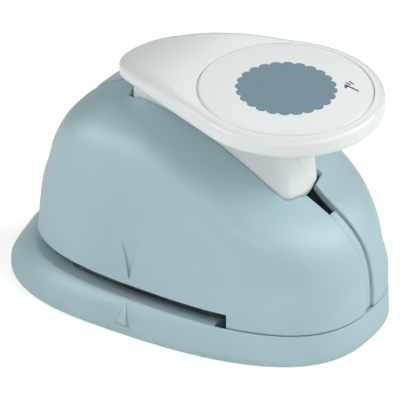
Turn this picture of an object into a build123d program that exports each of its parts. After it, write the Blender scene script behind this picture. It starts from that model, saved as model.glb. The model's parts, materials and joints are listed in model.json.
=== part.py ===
"""Scalloped circle punch: a lever-action desk punch for a one inch scalloped circle.

Lengths are in millimetres and angles in degrees. The origin is the centre of the
underside, +X points from the paper mouth to the thumb pad, +Z is up, and -Y is the
near side, which carries the alignment marks.
"""

from build123d import *
import math
import os
from dataclasses import dataclass

# Cutting tool
SCALLOP_TIP_DIAMETER = 25.4
SCALLOP_VALLEY_DIAMETER = 24.0
SCALLOP_LOBES = 24
DIE_CENTRE_X = -3.5
DIE_CLEARANCE = 0.06
CUTTER_LENGTH = 13.8
CUTTER_RETREAT = 0.4
CUTTER_SHEAR_DEPTH = 0.7
PAPER_GAP = 1.2

# General fits
CUT_OVERRUN = 2.0
PARTING_GAP = 0.15
RUNNING_CLEARANCE = 0.05
SEATING_CLEARANCE = 0.15
SIDE_PLAY = 0.3

# Base moulding and its cover
BASE_LENGTH = 101.54
BASE_HALF_WIDTH = 31.65
BASE_WIDE_X = -11.7
BASE_FRONT_POWER = 2.46
BASE_REAR_POWER = 2.59
BASE_RIM_BOTTOM = 0.5
BASE_RIM_HEIGHT = 1.5
BASE_CAVITY_BLEND_SHARE = 0.48
BASE_TOP = 9.0
BASE_WALL = 2.2
DECK_TOP = 8.2
DECK_THICKNESS = 2.0
LIP_TOP = 8.7
LIP_WIDTH = 1.4
LIP_END_X = 21.5
LIP_GAP_HALF_WIDTH = 18.0
DIE_PROUD = 0.4
CHUTE_MARGIN = 1.5
CHUTE_WALL = 1.6
COVER_THICKNESS = 2.0
COVER_INSET = 1.2

# Body shells
HOUSING_FRONT = 42.85
HOUSING_REAR = 50.51
HOUSING_HALF_WIDTH = 28.24
HOUSING_CREST = 55.0
HOUSING_WALL = 2.2
MOUTH_TOP = 12.88
MOUTH_END_X = 24.3
SEAM_STRIP_WIDTH = 3.5
SEAM_STRIP_DEPTH = 0.5
SLOT_FRONT_X = -16.2
SLOT_CORNER_X = 31.2
SLOT_END_X = 32.9
SLOT_TAIL_X = 39.2
SLOT_CUT_BOTTOM = 28.0
HOUSING_SCREW_PLACES = ((30.5, 14.5), (42.5, 10.0), (30.5, -14.5), (42.5, -10.0))
COVER_SCREW_PLACES = ((-35.0, 9.0), (-35.0, -9.0), (26.5, 21.0), (26.5, -21.0))
MARK_DEPTH = 0.5
MARK_HALF_WIDTH = 2.3
HOUSING_MARK_TOP = 26.0
HOUSING_MARK_TIP = 14.3
BASE_MARK_TIP_Y = -28.2
BASE_MARK_FOOT_Y = -31.0
SOCKET_RADIUS = 4.0
SOCKET_INNER_Y = 18.6
TOWER_RADIUS = 3.1

# Lever
LEVER_FRONT = 21.0
LEVER_PAD_RADIUS = 25.2
LEVER_PAD_X = 25.0
LEVER_FRONT_POWER = 1.85
LEVER_REAR_POWER = 2.0
LEVER_PAD_TOP = 65.4
LEVER_PAD_TILT = 1.6
LEVER_RIM_DEPTH = 4.8
LEVER_TIP_TOP = 61.2
LEVER_TIP_SLOPE = 0.25
LEVER_TIP_LOW_SLOPE = 0.17
LEVER_TIP_DEPTH = 2.6
LEVER_FLAT_START_X = 3.0
LEVER_SKIN = 2.4
LEVER_RIM_WALL = 2.2
LEVER_TOP_FILLET = 1.5
LEVER_LOW_FILLET = 1.0
LEVER_HOLLOW_FRONT_X = -8.0
LEVER_TOP_RIM_Z = 63.0
LEVER_LOW_RIM_Z = 60.5
SKIRT_HALF_WIDTH = 8.0
SKIRT_WALL = 2.0
SKIRT_FRONT_X = -15.0
SKIRT_CORNER_X = 30.4
NOSE_END_X = 32.3
NOSE_BOTTOM = 33.2
SKIRT_CHIN_BOTTOM = 41.0
SKIRT_CHIN_X = -12.0
SKIRT_FRONT_BOTTOM = 48.5
NOSE_FACET = 2.2
NOSE_FACET_END = 53.5
NOSE_LEAN = 1.9
SLOT_PLAY = 0.4
RIB_THICKNESS = 1.8
RIB_BOTTOM = 51.0
RIB_PLACES = (10.0, 21.0)
DISC_RADIUS = 22.0
DISC_GAP = 0.15
DISC_THICKNESS = 1.2

# Pivot
PIVOT_X = -14.0
PIVOT_Z = 45.0
PIVOT_PIN_RADIUS = 2.0
PIVOT_PIN_LENGTH = 42.0
HUB_RADIUS = 4.3
PUSH_PIN_RADIUS = 3.0
PIVOT_SOCKET_SLACK = 0.3

# Steel work
DIE_THICKNESS = 2.5
GUIDE_THICKNESS = 3.0
DIE_FRONT_X = -27.0
DIE_REAR_X = 20.5
DIE_HALF_WIDTH = 22.0
DIE_CORNER = 5.0
SPACER_FRONT_X = 11.5
GUIDE_FRONT_X = -26.0
CHEEK_INNER_Y = 14.5
CHEEK_THICKNESS = 1.5
CHEEK_HEAD_RADIUS = 4.2
CHEEK_FOOT_FRONT_X = -20.0
CHEEK_FOOT_REAR_X = 8.0
CHEEK_FOOT_WIDTH = 5.8
CHEEK_SHOULDER_Z = 18.0
CHEEK_SCREW_RADIUS = 1.25
POST_RADIUS = 2.0
POST_SPACING = 35.0
POST_STAND_OUT = 17.8
CLIP_THICKNESS = 0.6
CLIP_GROOVE_DEPTH = 0.5
CLIP_WIDTH = 1.8
CLIP_MOUTH_SHARE = 0.8

# Plunger
BAR_THICKNESS = 4.0
BAR_HALF_WIDTH = 5.4
BAR_END_MARGIN = 5.0
COLUMN_RADIUS = 4.5
PAD_HEAD_RADIUS = 4.2
PAD_HEAD_HEIGHT = 1.5
PAD_STEM_RADIUS = 1.5
PAD_STEM_LENGTH = 3.0
PAD_GAP = 0.3

# Springs, wound from square wire as die springs are
SPRING_WIRE_WIDTH = 0.8
SPRING_END_ROOM = 0.45
SPRING_COIL_RADIUS = 3.1
SPRING_TURNS = 5.0

# Screws
SCREW_RADIUS = 1.5
SCREW_HEAD_RADIUS = 2.7
SCREW_HEAD_HEIGHT = 1.5
SCREW_BITE = 7.0
THREAD_CLEARANCE = 0.02
SCREW_CLEARANCE = 0.15
SCREW_DRIVE_WIDTH = 0.7
SCREW_DRIVE_DEPTH_SHARE = 0.5
SHELL_SEAT_DEPTH = 1.6
DIE_SCREW_END = 3.0
CUTTER_SCREW_REACH = 8.0
CUTTER_SCREW_BITE = 6.0
BOSS_WALL = 1.6
COVER_SCREW_RADIUS = 1.1
COVER_SCREW_HEAD_HEIGHT = 1.0
COVER_SCREW_BITE = 3.2

# Travel

# Smoothness of the egg outlines
EGG_STEPS = 10

# Dome slices from the foot to the crest. Each row holds shares: height above the foot,
# front reach, rear reach, half width, widest place along the slice, front power, rear
# power, and the lean of the wall, where 0 is upright and 1 is flat.
DOME_SLICE_SHARES = (
    (0.000, 1.000, 1.000, 1.000, 0.488, 2.78, 2.62, 0.00),
    (0.128, 0.994, 0.997, 1.000, 0.488, 2.85, 2.70, 0.00),
    (0.258, 0.968, 0.980, 0.993, 0.489, 3.05, 2.85, 0.05),
    (0.389, 0.929, 0.931, 0.985, 0.495, 3.30, 3.05, 0.15),
    (0.520, 0.884, 0.818, 0.974, 0.506, 3.55, 3.25, 0.30),
    (0.629, 0.833, 0.634, 0.958, 0.515, 3.70, 3.40, 0.42),
    (0.717, 0.770, 0.479, 0.934, 0.500, 3.70, 3.55, 0.52),
    (0.782, 0.716, 0.370, 0.899, 0.478, 3.65, 3.60, 0.60),
    (0.847, 0.651, 0.255, 0.846, 0.445, 3.50, 3.50, 0.70),
    (0.902, 0.586, 0.139, 0.775, 0.425, 3.45, 3.45, 0.80),
    (0.945, 0.523, 0.026, 0.683, 0.425, 3.40, 3.40, 0.88),
    (0.978, 0.453, -0.087, 0.549, 0.440, 3.30, 3.30, 0.95),
    (1.000, 0.369, -0.194, 0.336, 0.480, 3.00, 3.00, 1.00),
)

# Apron slices from the rim to the lip: height share and blend share towards the lip
APRON_SLICE_SHARES = ((0.0, 0.0), (0.32, 0.20), (0.68, 0.56), (1.0, 1.0))

# Derived heights, from the table up
FOOT = BASE_TOP + PARTING_GAP
RIM_TOP = BASE_RIM_BOTTOM + BASE_RIM_HEIGHT
CEILING = DECK_TOP - DECK_THICKNESS
DIE_TOP = DECK_TOP + DIE_PROUD
DIE_BOTTOM = DIE_TOP - DIE_THICKNESS
SEAT_BOTTOM = DIE_BOTTOM - DECK_THICKNESS
GUIDE_BOTTOM = DIE_TOP + PAPER_GAP
GUIDE_TOP = GUIDE_BOTTOM + GUIDE_THICKNESS
CUTTER_BOTTOM = GUIDE_BOTTOM + CUTTER_RETREAT
BAR_BOTTOM = CUTTER_BOTTOM + CUTTER_LENGTH
BAR_TOP = BAR_BOTTOM + BAR_THICKNESS
POST_TOP = GUIDE_TOP + POST_STAND_OUT
POST_CLIP_BOTTOM = BAR_TOP + SEATING_CLEARANCE
PAD_TOP = PIVOT_Z - PUSH_PIN_RADIUS - PAD_GAP
COLUMN_TOP = PAD_TOP - PAD_HEAD_HEIGHT

# Derived radii and widths
SCALLOP_TIP = SCALLOP_TIP_DIAMETER / 2
SCALLOP_VALLEY = SCALLOP_VALLEY_DIAMETER / 2
CHUTE_RADIUS = SCALLOP_TIP + CHUTE_MARGIN
SEAM_Y = SEAM_STRIP_WIDTH / 2
SLOT_HALF_WIDTH = SKIRT_HALF_WIDTH + SLOT_PLAY
CHEEK_OUTER_Y = CHEEK_INNER_Y + CHEEK_THICKNESS
HUB_HALF_LENGTH = CHEEK_INNER_Y - SIDE_PLAY
CLEAR_HOLE = SCREW_RADIUS + SCREW_CLEARANCE
HEAD_HOLE = SCREW_HEAD_RADIUS + SCREW_CLEARANCE

# Derived places
POST_PLACES = ((DIE_CENTRE_X - POST_SPACING / 2, 0), (DIE_CENTRE_X + POST_SPACING / 2, 0))
SPACER_SCREW_X = (SPACER_FRONT_X + DIE_REAR_X) / 2
SPACER_SCREW_PLACES = [
    (SPACER_SCREW_X, side * share * DIE_HALF_WIDTH) for side in (1, -1) for share in (0.42, 0.82)
]
DIE_SCREW_PLACES = [
    (DIE_FRONT_X + DIE_CORNER, side * (DIE_HALF_WIDTH - DIE_CORNER)) for side in (1, -1)
]
CHEEK_SCREW_PLACES = [
    (x, side * (CHEEK_OUTER_Y + CHEEK_FOOT_WIDTH / 2))
    for side in (1, -1)
    for x in (CHEEK_FOOT_FRONT_X + CHEEK_FOOT_WIDTH, CHEEK_FOOT_REAR_X - CHEEK_FOOT_WIDTH)
]
CUTTER_SCREW_PLACES = [(DIE_CENTRE_X + side * CUTTER_SCREW_REACH, 0) for side in (1, -1)]


@dataclass(frozen=True)
class Egg:
    """A plan outline whose front and rear halves are superellipses."""

    front: float
    rear: float
    half_width: float
    wide_x: float
    front_power: float
    rear_power: float

    def shrunk(self, inset):
        """Returns the outline drawn in by the inset on every side."""
        return Egg(
            self.front - inset,
            self.rear - inset,
            self.half_width - inset,
            self.wide_x,
            self.front_power,
            self.rear_power,
        )

    def blended(self, other, share):
        """Returns the outline part of the way to another one."""

        def mix(here, there):
            return here + (there - here) * share

        return Egg(
            mix(self.front, other.front),
            mix(self.rear, other.rear),
            mix(self.half_width, other.half_width),
            mix(self.wide_x, other.wide_x),
            mix(self.front_power, other.front_power),
            mix(self.rear_power, other.rear_power),
        )

    def half_points(self):
        """Returns points along the +Y half, from the front tip to the rear tip."""
        points = []
        for step in range(EGG_STEPS + 1):
            turn = math.pi * step / EGG_STEPS
            in_front = 2 * step < EGG_STEPS
            power = self.front_power if in_front else self.rear_power
            reach = -self.front - self.wide_x if in_front else self.rear - self.wide_x
            along = abs(math.cos(turn)) ** (2 / power)
            across = math.sin(turn) ** (2 / power) if 0 < step < EGG_STEPS else 0
            points.append((self.wide_x + reach * along, self.half_width * across))
        return points

    def face(self, height):
        """Returns the face inside the outline at a height."""
        upper = self.half_points()
        lower = [(x, -y) for x, y in reversed(upper[1:-1])]
        with BuildSketch(Plane.XY.offset(height)) as face:
            with BuildLine():
                Spline(*upper, *lower, periodic=True)
            make_face()
        return face.sketch


def dome_slice(row):
    """Returns the height and outline of one row of the dome's table."""
    height, front, rear, width, wide, front_power, rear_power, _ = row
    tip = HOUSING_FRONT * front
    tail = HOUSING_REAR * rear
    widest = -tip + (tip + tail) * wide
    egg = Egg(tip, tail, HOUSING_HALF_WIDTH * width, widest, front_power, rear_power)
    return FOOT + (HOUSING_CREST - FOOT) * height, egg


BASE_EGG = Egg(
    BASE_LENGTH / 2,
    BASE_LENGTH / 2,
    BASE_HALF_WIDTH,
    BASE_WIDE_X,
    BASE_FRONT_POWER,
    BASE_REAR_POWER,
)
HOUSING_EGG = dome_slice(DOME_SLICE_SHARES[0])[1]
LEVER_EGG = Egg(
    LEVER_FRONT,
    LEVER_PAD_X + LEVER_PAD_RADIUS,
    LEVER_PAD_RADIUS,
    LEVER_PAD_X,
    LEVER_FRONT_POWER,
    LEVER_REAR_POWER,
)


def dome(inset, lengthening=0):
    """Returns the dome drawn in along its normals, with its foot lengthened downwards."""
    faces = []
    if lengthening:
        faces.append(HOUSING_EGG.shrunk(inset).face(FOOT - lengthening))
    for row in DOME_SLICE_SHARES:
        height, egg = dome_slice(row)
        lean = row[-1]
        upright = math.sqrt(1 - lean * lean)
        faces.append(egg.shrunk(inset * upright).face(height - inset * lean))
    with BuildPart() as body:
        loft(faces)
    return body.part


def apron(growth=0):
    """Returns the base's flared block, grown on every side."""
    faces = []
    for height, blend in APRON_SLICE_SHARES:
        egg = BASE_EGG.blended(HOUSING_EGG, blend).shrunk(-growth)
        faces.append(egg.face(RIM_TOP + (BASE_TOP - RIM_TOP) * height))
    with BuildPart() as body:
        loft(faces)
        extrude(BASE_EGG.shrunk(-growth).face(RIM_TOP), amount=-BASE_RIM_HEIGHT)
    return body.part


def prism(points, low_y, high_y):
    """Returns a polygon in X and Z, extruded from one Y to another."""
    with BuildPart() as body:
        with BuildSketch(Plane.XZ.offset(-high_y)):
            with BuildLine():
                Polyline(*points, close=True)
            make_face()
        extrude(amount=high_y - low_y)
    return body.part


def block(low_x, high_x, low_y, high_y, low_z, high_z):
    """Returns the box between two values on each axis."""
    corners = ((low_x, low_z), (high_x, low_z), (high_x, high_z), (low_x, high_z))
    return prism(corners, low_y, high_y)


def rods(radius, places, low, high):
    """Returns upright rods at the places between two heights."""
    with BuildPart() as body:
        with BuildSketch(Plane.XY.offset(low)):
            with Locations(*places):
                Circle(radius)
        extrude(amount=high - low)
    return body.part


def cross_rod(radius, x, z, low_y, high_y):
    """Returns a rod along Y between two Y values."""
    with BuildPart() as body:
        with BuildSketch(Plane.XZ.offset(-high_y)):
            with Locations((x, z)):
                Circle(radius)
        extrude(amount=high_y - low_y)
    return body.part


def plate(low, thickness, front, rear, growth=0):
    """Returns a die-set plate with rounded corners, grown on every side."""
    with BuildPart() as body:
        with BuildSketch(Plane.XY.offset(low)):
            with Locations(((front + rear) / 2, 0)):
                RectangleRounded(
                    rear - front + 2 * growth, 2 * (DIE_HALF_WIDTH + growth), DIE_CORNER + growth
                )
        extrude(amount=thickness)
    return body.part


def polar(radius, angle):
    """Returns the point at a radius and an angle in radians about the die's centre."""
    return (DIE_CENTRE_X + radius * math.cos(angle), radius * math.sin(angle))


def scalloped(low, high, growth=0):
    """Returns the scalloped prism between two heights, grown by a clearance."""
    valley = SCALLOP_VALLEY + growth
    tip = SCALLOP_TIP + growth
    pitch = math.tau / SCALLOP_LOBES
    with BuildPart() as body:
        with BuildSketch(Plane.XY.offset(low)):
            with BuildLine():
                for lobe in range(SCALLOP_LOBES):
                    start = lobe * pitch
                    ThreePointArc(
                        polar(valley, start),
                        polar(tip, start + pitch / 2),
                        polar(valley, start + pitch),
                    )
            make_face()
        extrude(amount=high - low)
    return body.part


def pan_screws(places, seat, bite_end, radius=SCREW_RADIUS):
    """Returns slotted pan-head screws between their seat and the ends of their shanks.

    The heads stand away from the shanks: above the seat for screws driven from above.
    """
    outward = math.copysign(1, seat - bite_end)
    head_radius = SCREW_HEAD_RADIUS * radius / SCREW_RADIUS
    head_height = SCREW_HEAD_HEIGHT * radius / SCREW_RADIUS
    drive_width = SCREW_DRIVE_WIDTH * radius / SCREW_RADIUS
    with BuildPart() as body:
        with BuildSketch(Plane.XY.offset(seat)):
            with Locations(*places):
                Circle(head_radius)
        extrude(amount=outward * head_height)
        with BuildSketch(Plane.XY.offset(seat)):
            with Locations(*places):
                Circle(radius)
        extrude(amount=bite_end - seat)
        with BuildSketch(Plane.XY.offset(seat + outward * head_height)):
            with Locations(*places):
                Rectangle(2 * head_radius, drive_width)
        extrude(amount=-outward * SCREW_DRIVE_DEPTH_SHARE * head_height, mode=Mode.SUBTRACT)
    return body.part


def retaining_rings(plane, places, thickness):
    """Returns open retaining rings on a plane, round pins of the groove's radius."""
    inner = POST_RADIUS - CLIP_GROOVE_DEPTH + THREAD_CLEARANCE
    outer = inner + CLIP_WIDTH
    with BuildPart() as body:
        with BuildSketch(plane):
            with Locations(*places):
                Circle(outer)
                Circle(inner, mode=Mode.SUBTRACT)
                Rectangle(
                    2 * outer,
                    2 * inner * CLIP_MOUTH_SHARE,
                    align=(Align.MIN, Align.CENTER),
                    mode=Mode.SUBTRACT,
                )
        extrude(amount=thickness)
    return body.part


def write(builder, name):
    """Labels a finished piece and writes its STEP file."""
    builder.part.label = name
    export_step(builder.part, f"parts/{name}.step")


os.makedirs("parts", exist_ok=True)

# Base moulding
SHELL_SCREW_SEAT = CEILING - SHELL_SEAT_DEPTH
SHELL_POST_RADIUS = HEAD_HOLE + BOSS_WALL
BASE_BORE_START = BASE_RIM_BOTTOM - CUT_OVERRUN
LIP_EGG = HOUSING_EGG.shrunk(LIP_WIDTH)
CAVITY_EGG = BASE_EGG.shrunk(BASE_WALL)
CAVITY_TOP_EGG = BASE_EGG.blended(HOUSING_EGG, BASE_CAVITY_BLEND_SHARE).shrunk(BASE_WALL)
with BuildPart() as mouth_floor:
    extrude(LIP_EGG.face(DECK_TOP), amount=CUT_OVERRUN)
    add(
        block(-BASE_LENGTH, LIP_END_X, -BASE_LENGTH, BASE_LENGTH, BASE_RIM_BOTTOM, HOUSING_CREST),
        mode=Mode.INTERSECT,
    )
with BuildPart() as lip_gap:
    extrude(LIP_EGG.face(CEILING - CUT_OVERRUN), amount=BASE_TOP)
    add(
        block(LIP_END_X, MOUTH_END_X, -BASE_LENGTH, BASE_LENGTH, CEILING - CUT_OVERRUN, HOUSING_CREST),
        mode=Mode.INTERSECT,
    )
    add(
        block(
            LIP_END_X - CUT_OVERRUN,
            MOUTH_END_X + CUT_OVERRUN,
            -LIP_GAP_HALF_WIDTH,
            LIP_GAP_HALF_WIDTH,
            CEILING - 2 * CUT_OVERRUN,
            HOUSING_CREST,
        ),
        mode=Mode.SUBTRACT,
    )
with BuildPart() as base_mark:
    add(apron(MARK_DEPTH))
    with BuildSketch(Plane.XY.offset(RIM_TOP)):
        with BuildLine():
            Polyline(
                (DIE_CENTRE_X, BASE_MARK_TIP_Y),
                (DIE_CENTRE_X - MARK_HALF_WIDTH, BASE_MARK_FOOT_Y),
                (DIE_CENTRE_X + MARK_HALF_WIDTH, BASE_MARK_FOOT_Y),
                close=True,
            )
        make_face()
    extrude(amount=BASE_TOP - RIM_TOP, mode=Mode.INTERSECT)
with BuildPart() as base_bosses:
    add(plate(SEAT_BOTTOM, DECK_TOP - SEAT_BOTTOM, DIE_FRONT_X, DIE_REAR_X, DECK_THICKNESS))
    add(rods(CHUTE_RADIUS + CHUTE_WALL, [(DIE_CENTRE_X, 0)], COVER_THICKNESS, CEILING))
    add(rods(SHELL_POST_RADIUS, HOUSING_SCREW_PLACES, COVER_THICKNESS, DECK_TOP))
    add(rods(COVER_SCREW_RADIUS + BOSS_WALL, COVER_SCREW_PLACES, COVER_THICKNESS, DECK_TOP))
    add(
        rods(
            SCREW_RADIUS + BOSS_WALL,
            SPACER_SCREW_PLACES + DIE_SCREW_PLACES,
            COVER_THICKNESS,
            CEILING,
        )
    )
with BuildPart() as base_openings:
    add(plate(DIE_BOTTOM, DIE_THICKNESS, DIE_FRONT_X, DIE_REAR_X, SEATING_CLEARANCE))
    add(rods(CHUTE_RADIUS, [(DIE_CENTRE_X, 0)], BASE_BORE_START, BASE_TOP))
    add(rods(CLEAR_HOLE, HOUSING_SCREW_PLACES, BASE_BORE_START, FOOT))
    add(rods(HEAD_HOLE, HOUSING_SCREW_PLACES, BASE_BORE_START, SHELL_SCREW_SEAT))
    add(
        rods(
            COVER_SCREW_RADIUS + THREAD_CLEARANCE,
            COVER_SCREW_PLACES,
            BASE_BORE_START,
            COVER_THICKNESS + COVER_SCREW_BITE,
        )
    )
    add(
        rods(
            SCREW_RADIUS + THREAD_CLEARANCE,
            SPACER_SCREW_PLACES + DIE_SCREW_PLACES,
            DIE_SCREW_END,
            BASE_TOP,
        )
    )
with BuildPart() as base:
    add(apron())
    extrude(
        BASE_EGG.shrunk(COVER_INSET - SEATING_CLEARANCE).face(COVER_THICKNESS),
        amount=-COVER_THICKNESS,
        mode=Mode.SUBTRACT,
    )
    loft(
        [CAVITY_EGG.face(BASE_RIM_BOTTOM), CAVITY_EGG.face(RIM_TOP), CAVITY_TOP_EGG.face(CEILING)],
        mode=Mode.SUBTRACT,
    )
    add(base_bosses.part)
    add(mouth_floor.part, mode=Mode.SUBTRACT)
    add(lip_gap.part, mode=Mode.SUBTRACT)
    add(
        block(-BASE_LENGTH, MOUTH_END_X, -BASE_LENGTH, BASE_LENGTH, LIP_TOP, HOUSING_CREST),
        mode=Mode.SUBTRACT,
    )
    add(base_openings.part, mode=Mode.SUBTRACT)
    add(base_mark.part)
write(base, "base")

# Bottom cover with the chip hole and sunk screw heads
COVER_SCREW_SEAT = COVER_SCREW_HEAD_HEIGHT + SEATING_CLEARANCE
COVER_HEAD_RADIUS = SCREW_HEAD_RADIUS * COVER_SCREW_RADIUS / SCREW_RADIUS
with BuildPart() as bottom_cover:
    extrude(BASE_EGG.shrunk(COVER_INSET).face(0), amount=COVER_THICKNESS)
    add(
        rods(CHUTE_RADIUS, [(DIE_CENTRE_X, 0)], -CUT_OVERRUN, COVER_THICKNESS + CUT_OVERRUN),
        mode=Mode.SUBTRACT,
    )
    add(
        rods(
            COVER_SCREW_RADIUS + SCREW_CLEARANCE,
            COVER_SCREW_PLACES,
            -CUT_OVERRUN,
            COVER_THICKNESS + CUT_OVERRUN,
        ),
        mode=Mode.SUBTRACT,
    )
    add(
        rods(
            COVER_HEAD_RADIUS + SCREW_CLEARANCE, COVER_SCREW_PLACES, -CUT_OVERRUN, COVER_SCREW_SEAT
        ),
        mode=Mode.SUBTRACT,
    )
write(bottom_cover, "bottom_cover")

with BuildPart() as cover_screws:
    add(
        pan_screws(
            COVER_SCREW_PLACES,
            COVER_SCREW_SEAT,
            COVER_THICKNESS + COVER_SCREW_BITE,
            COVER_SCREW_RADIUS,
        )
    )
write(cover_screws, "cover_screws")

# Body shells: one hollow dome with its slot, strips and towers, parted at the seam
TAIL_HALF_WIDTH = SEAM_Y
SOCKET_BORE_END = PIVOT_PIN_LENGTH / 2 + PIVOT_SOCKET_SLACK
with BuildPart() as solid_dome:
    add(dome(0))
with BuildPart() as skin:
    add(solid_dome.part)
    add(dome(SEAM_STRIP_DEPTH, CUT_OVERRUN), mode=Mode.SUBTRACT)
with BuildPart() as seam_strips:
    add(skin.part)
    add(
        block(-BASE_LENGTH, SLOT_FRONT_X, -SEAM_Y, SEAM_Y, 0, 2 * HOUSING_CREST)
        + block(SLOT_TAIL_X, BASE_LENGTH, -SEAM_Y, SEAM_Y, 0, 2 * HOUSING_CREST),
        mode=Mode.INTERSECT,
    )
with BuildPart() as side_mark:
    add(skin.part)
    add(
        prism(
            (
                (DIE_CENTRE_X, HOUSING_MARK_TIP),
                (DIE_CENTRE_X + MARK_HALF_WIDTH, HOUSING_MARK_TOP),
                (DIE_CENTRE_X - MARK_HALF_WIDTH, HOUSING_MARK_TOP),
            ),
            -BASE_LENGTH,
            0,
        ),
        mode=Mode.INTERSECT,
    )
with BuildPart() as fittings:
    add(rods(TOWER_RADIUS, HOUSING_SCREW_PLACES, FOOT, HOUSING_CREST))
    add(cross_rod(SOCKET_RADIUS, PIVOT_X, PIVOT_Z, SOCKET_INNER_Y, HOUSING_HALF_WIDTH))
    add(cross_rod(SOCKET_RADIUS, PIVOT_X, PIVOT_Z, -HOUSING_HALF_WIDTH, -SOCKET_INNER_Y))
    add(dome(HOUSING_WALL / 2), mode=Mode.INTERSECT)
with BuildPart() as lever_slot:
    with BuildSketch(Plane.XY.offset(SLOT_CUT_BOTTOM)):
        with BuildLine():
            Polyline(
                (SLOT_FRONT_X, SLOT_HALF_WIDTH),
                (SLOT_CORNER_X, SLOT_HALF_WIDTH),
                (SLOT_END_X, TAIL_HALF_WIDTH),
                (SLOT_TAIL_X, TAIL_HALF_WIDTH),
                (SLOT_TAIL_X, -TAIL_HALF_WIDTH),
                (SLOT_END_X, -TAIL_HALF_WIDTH),
                (SLOT_CORNER_X, -SLOT_HALF_WIDTH),
                (SLOT_FRONT_X, -SLOT_HALF_WIDTH),
                close=True,
            )
        make_face()
    extrude(amount=HOUSING_CREST)
with BuildPart() as shell:
    add(solid_dome.part)
    add(dome(HOUSING_WALL, CUT_OVERRUN), mode=Mode.SUBTRACT)
    add(fittings.part)
    add(
        block(-BASE_LENGTH, MOUTH_END_X, -BASE_LENGTH, BASE_LENGTH, 0, MOUTH_TOP),
        mode=Mode.SUBTRACT,
    )
    add(lever_slot.part, mode=Mode.SUBTRACT)
    add(
        cross_rod(
            PIVOT_PIN_RADIUS + RUNNING_CLEARANCE,
            PIVOT_X,
            PIVOT_Z,
            -SOCKET_BORE_END,
            SOCKET_BORE_END,
        ),
        mode=Mode.SUBTRACT,
    )
    add(
        rods(
            SCREW_RADIUS + THREAD_CLEARANCE,
            HOUSING_SCREW_PLACES,
            0,
            FOOT + SCREW_BITE + THREAD_CLEARANCE,
        ),
        mode=Mode.SUBTRACT,
    )
with BuildPart() as housing_near:
    add(shell.part)
    split(bisect_by=Plane.XZ.offset(-SEAM_Y), keep=Keep.TOP)
    add(seam_strips.part, mode=Mode.SUBTRACT)
    add(side_mark.part, mode=Mode.SUBTRACT)
write(housing_near, "housing_near")

with BuildPart() as housing_far:
    add(shell.part)
    split(bisect_by=Plane.XZ.offset(-SEAM_Y - PARTING_GAP), keep=Keep.BOTTOM)
write(housing_far, "housing_far")

with BuildPart() as housing_screws:
    add(pan_screws(HOUSING_SCREW_PLACES, SHELL_SCREW_SEAT, FOOT + SCREW_BITE))
write(housing_screws, "housing_screws")

# Steel plates of the die set
DIE_CUT_LOW = DIE_BOTTOM - CUT_OVERRUN
DIE_CUT_HIGH = GUIDE_TOP + CUT_OVERRUN
PLATE_SCREW_SEAT = DIE_TOP - SCREW_HEAD_HEIGHT - SEATING_CLEARANCE
with BuildPart() as die_opening:
    add(scalloped(DIE_CUT_LOW, DIE_CUT_HIGH, DIE_CLEARANCE))
    add(rods(CLEAR_HOLE, SPACER_SCREW_PLACES, DIE_CUT_LOW, DIE_CUT_HIGH))
with BuildPart() as die_plate:
    add(plate(DIE_BOTTOM, DIE_THICKNESS, DIE_FRONT_X, DIE_REAR_X))
    add(die_opening.part, mode=Mode.SUBTRACT)
    add(rods(CLEAR_HOLE, DIE_SCREW_PLACES, DIE_CUT_LOW, DIE_CUT_HIGH), mode=Mode.SUBTRACT)
    add(rods(HEAD_HOLE, DIE_SCREW_PLACES, PLATE_SCREW_SEAT, DIE_CUT_HIGH), mode=Mode.SUBTRACT)
write(die_plate, "die_plate")

with BuildPart() as paper_spacer:
    add(plate(DIE_TOP, PAPER_GAP, DIE_FRONT_X, DIE_REAR_X))
    add(
        block(SPACER_FRONT_X, BASE_LENGTH, -BASE_LENGTH, BASE_LENGTH, 0, HOUSING_CREST),
        mode=Mode.INTERSECT,
    )
    add(die_opening.part, mode=Mode.SUBTRACT)
write(paper_spacer, "paper_spacer")

with BuildPart() as guide_plate:
    add(plate(GUIDE_BOTTOM, GUIDE_THICKNESS, GUIDE_FRONT_X, DIE_REAR_X))
    add(die_opening.part, mode=Mode.SUBTRACT)
    add(
        rods(POST_RADIUS + THREAD_CLEARANCE, POST_PLACES, DIE_CUT_LOW, DIE_CUT_HIGH),
        mode=Mode.SUBTRACT,
    )
    add(
        rods(
            CHEEK_SCREW_RADIUS + THREAD_CLEARANCE, CHEEK_SCREW_PLACES, DIE_CUT_LOW, DIE_CUT_HIGH
        ),
        mode=Mode.SUBTRACT,
    )
write(guide_plate, "guide_plate")

with BuildPart() as die_screws:
    add(pan_screws(SPACER_SCREW_PLACES, GUIDE_TOP, DIE_SCREW_END))
write(die_screws, "die_screws")

with BuildPart() as plate_screws:
    add(pan_screws(DIE_SCREW_PLACES, PLATE_SCREW_SEAT, DIE_SCREW_END))
write(plate_screws, "plate_screws")

# Guide posts with their retaining rings
GROOVE_RADIUS = POST_RADIUS - CLIP_GROOVE_DEPTH
POST_GROOVE_LOW = POST_CLIP_BOTTOM - THREAD_CLEARANCE
POST_GROOVE_HIGH = POST_CLIP_BOTTOM + CLIP_THICKNESS + THREAD_CLEARANCE
with BuildPart() as guide_post_front:
    add(rods(POST_RADIUS, POST_PLACES[:1], GUIDE_BOTTOM, POST_GROOVE_LOW))
    add(rods(GROOVE_RADIUS, POST_PLACES[:1], GUIDE_BOTTOM, POST_TOP))
    add(rods(POST_RADIUS, POST_PLACES[:1], POST_GROOVE_HIGH, POST_TOP))
write(guide_post_front, "guide_post_front")

with BuildPart() as guide_post_rear:
    add(rods(POST_RADIUS, POST_PLACES[1:], GUIDE_BOTTOM, POST_GROOVE_LOW))
    add(rods(GROOVE_RADIUS, POST_PLACES[1:], GUIDE_BOTTOM, POST_TOP))
    add(rods(POST_RADIUS, POST_PLACES[1:], POST_GROOVE_HIGH, POST_TOP))
write(guide_post_rear, "guide_post_rear")

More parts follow.
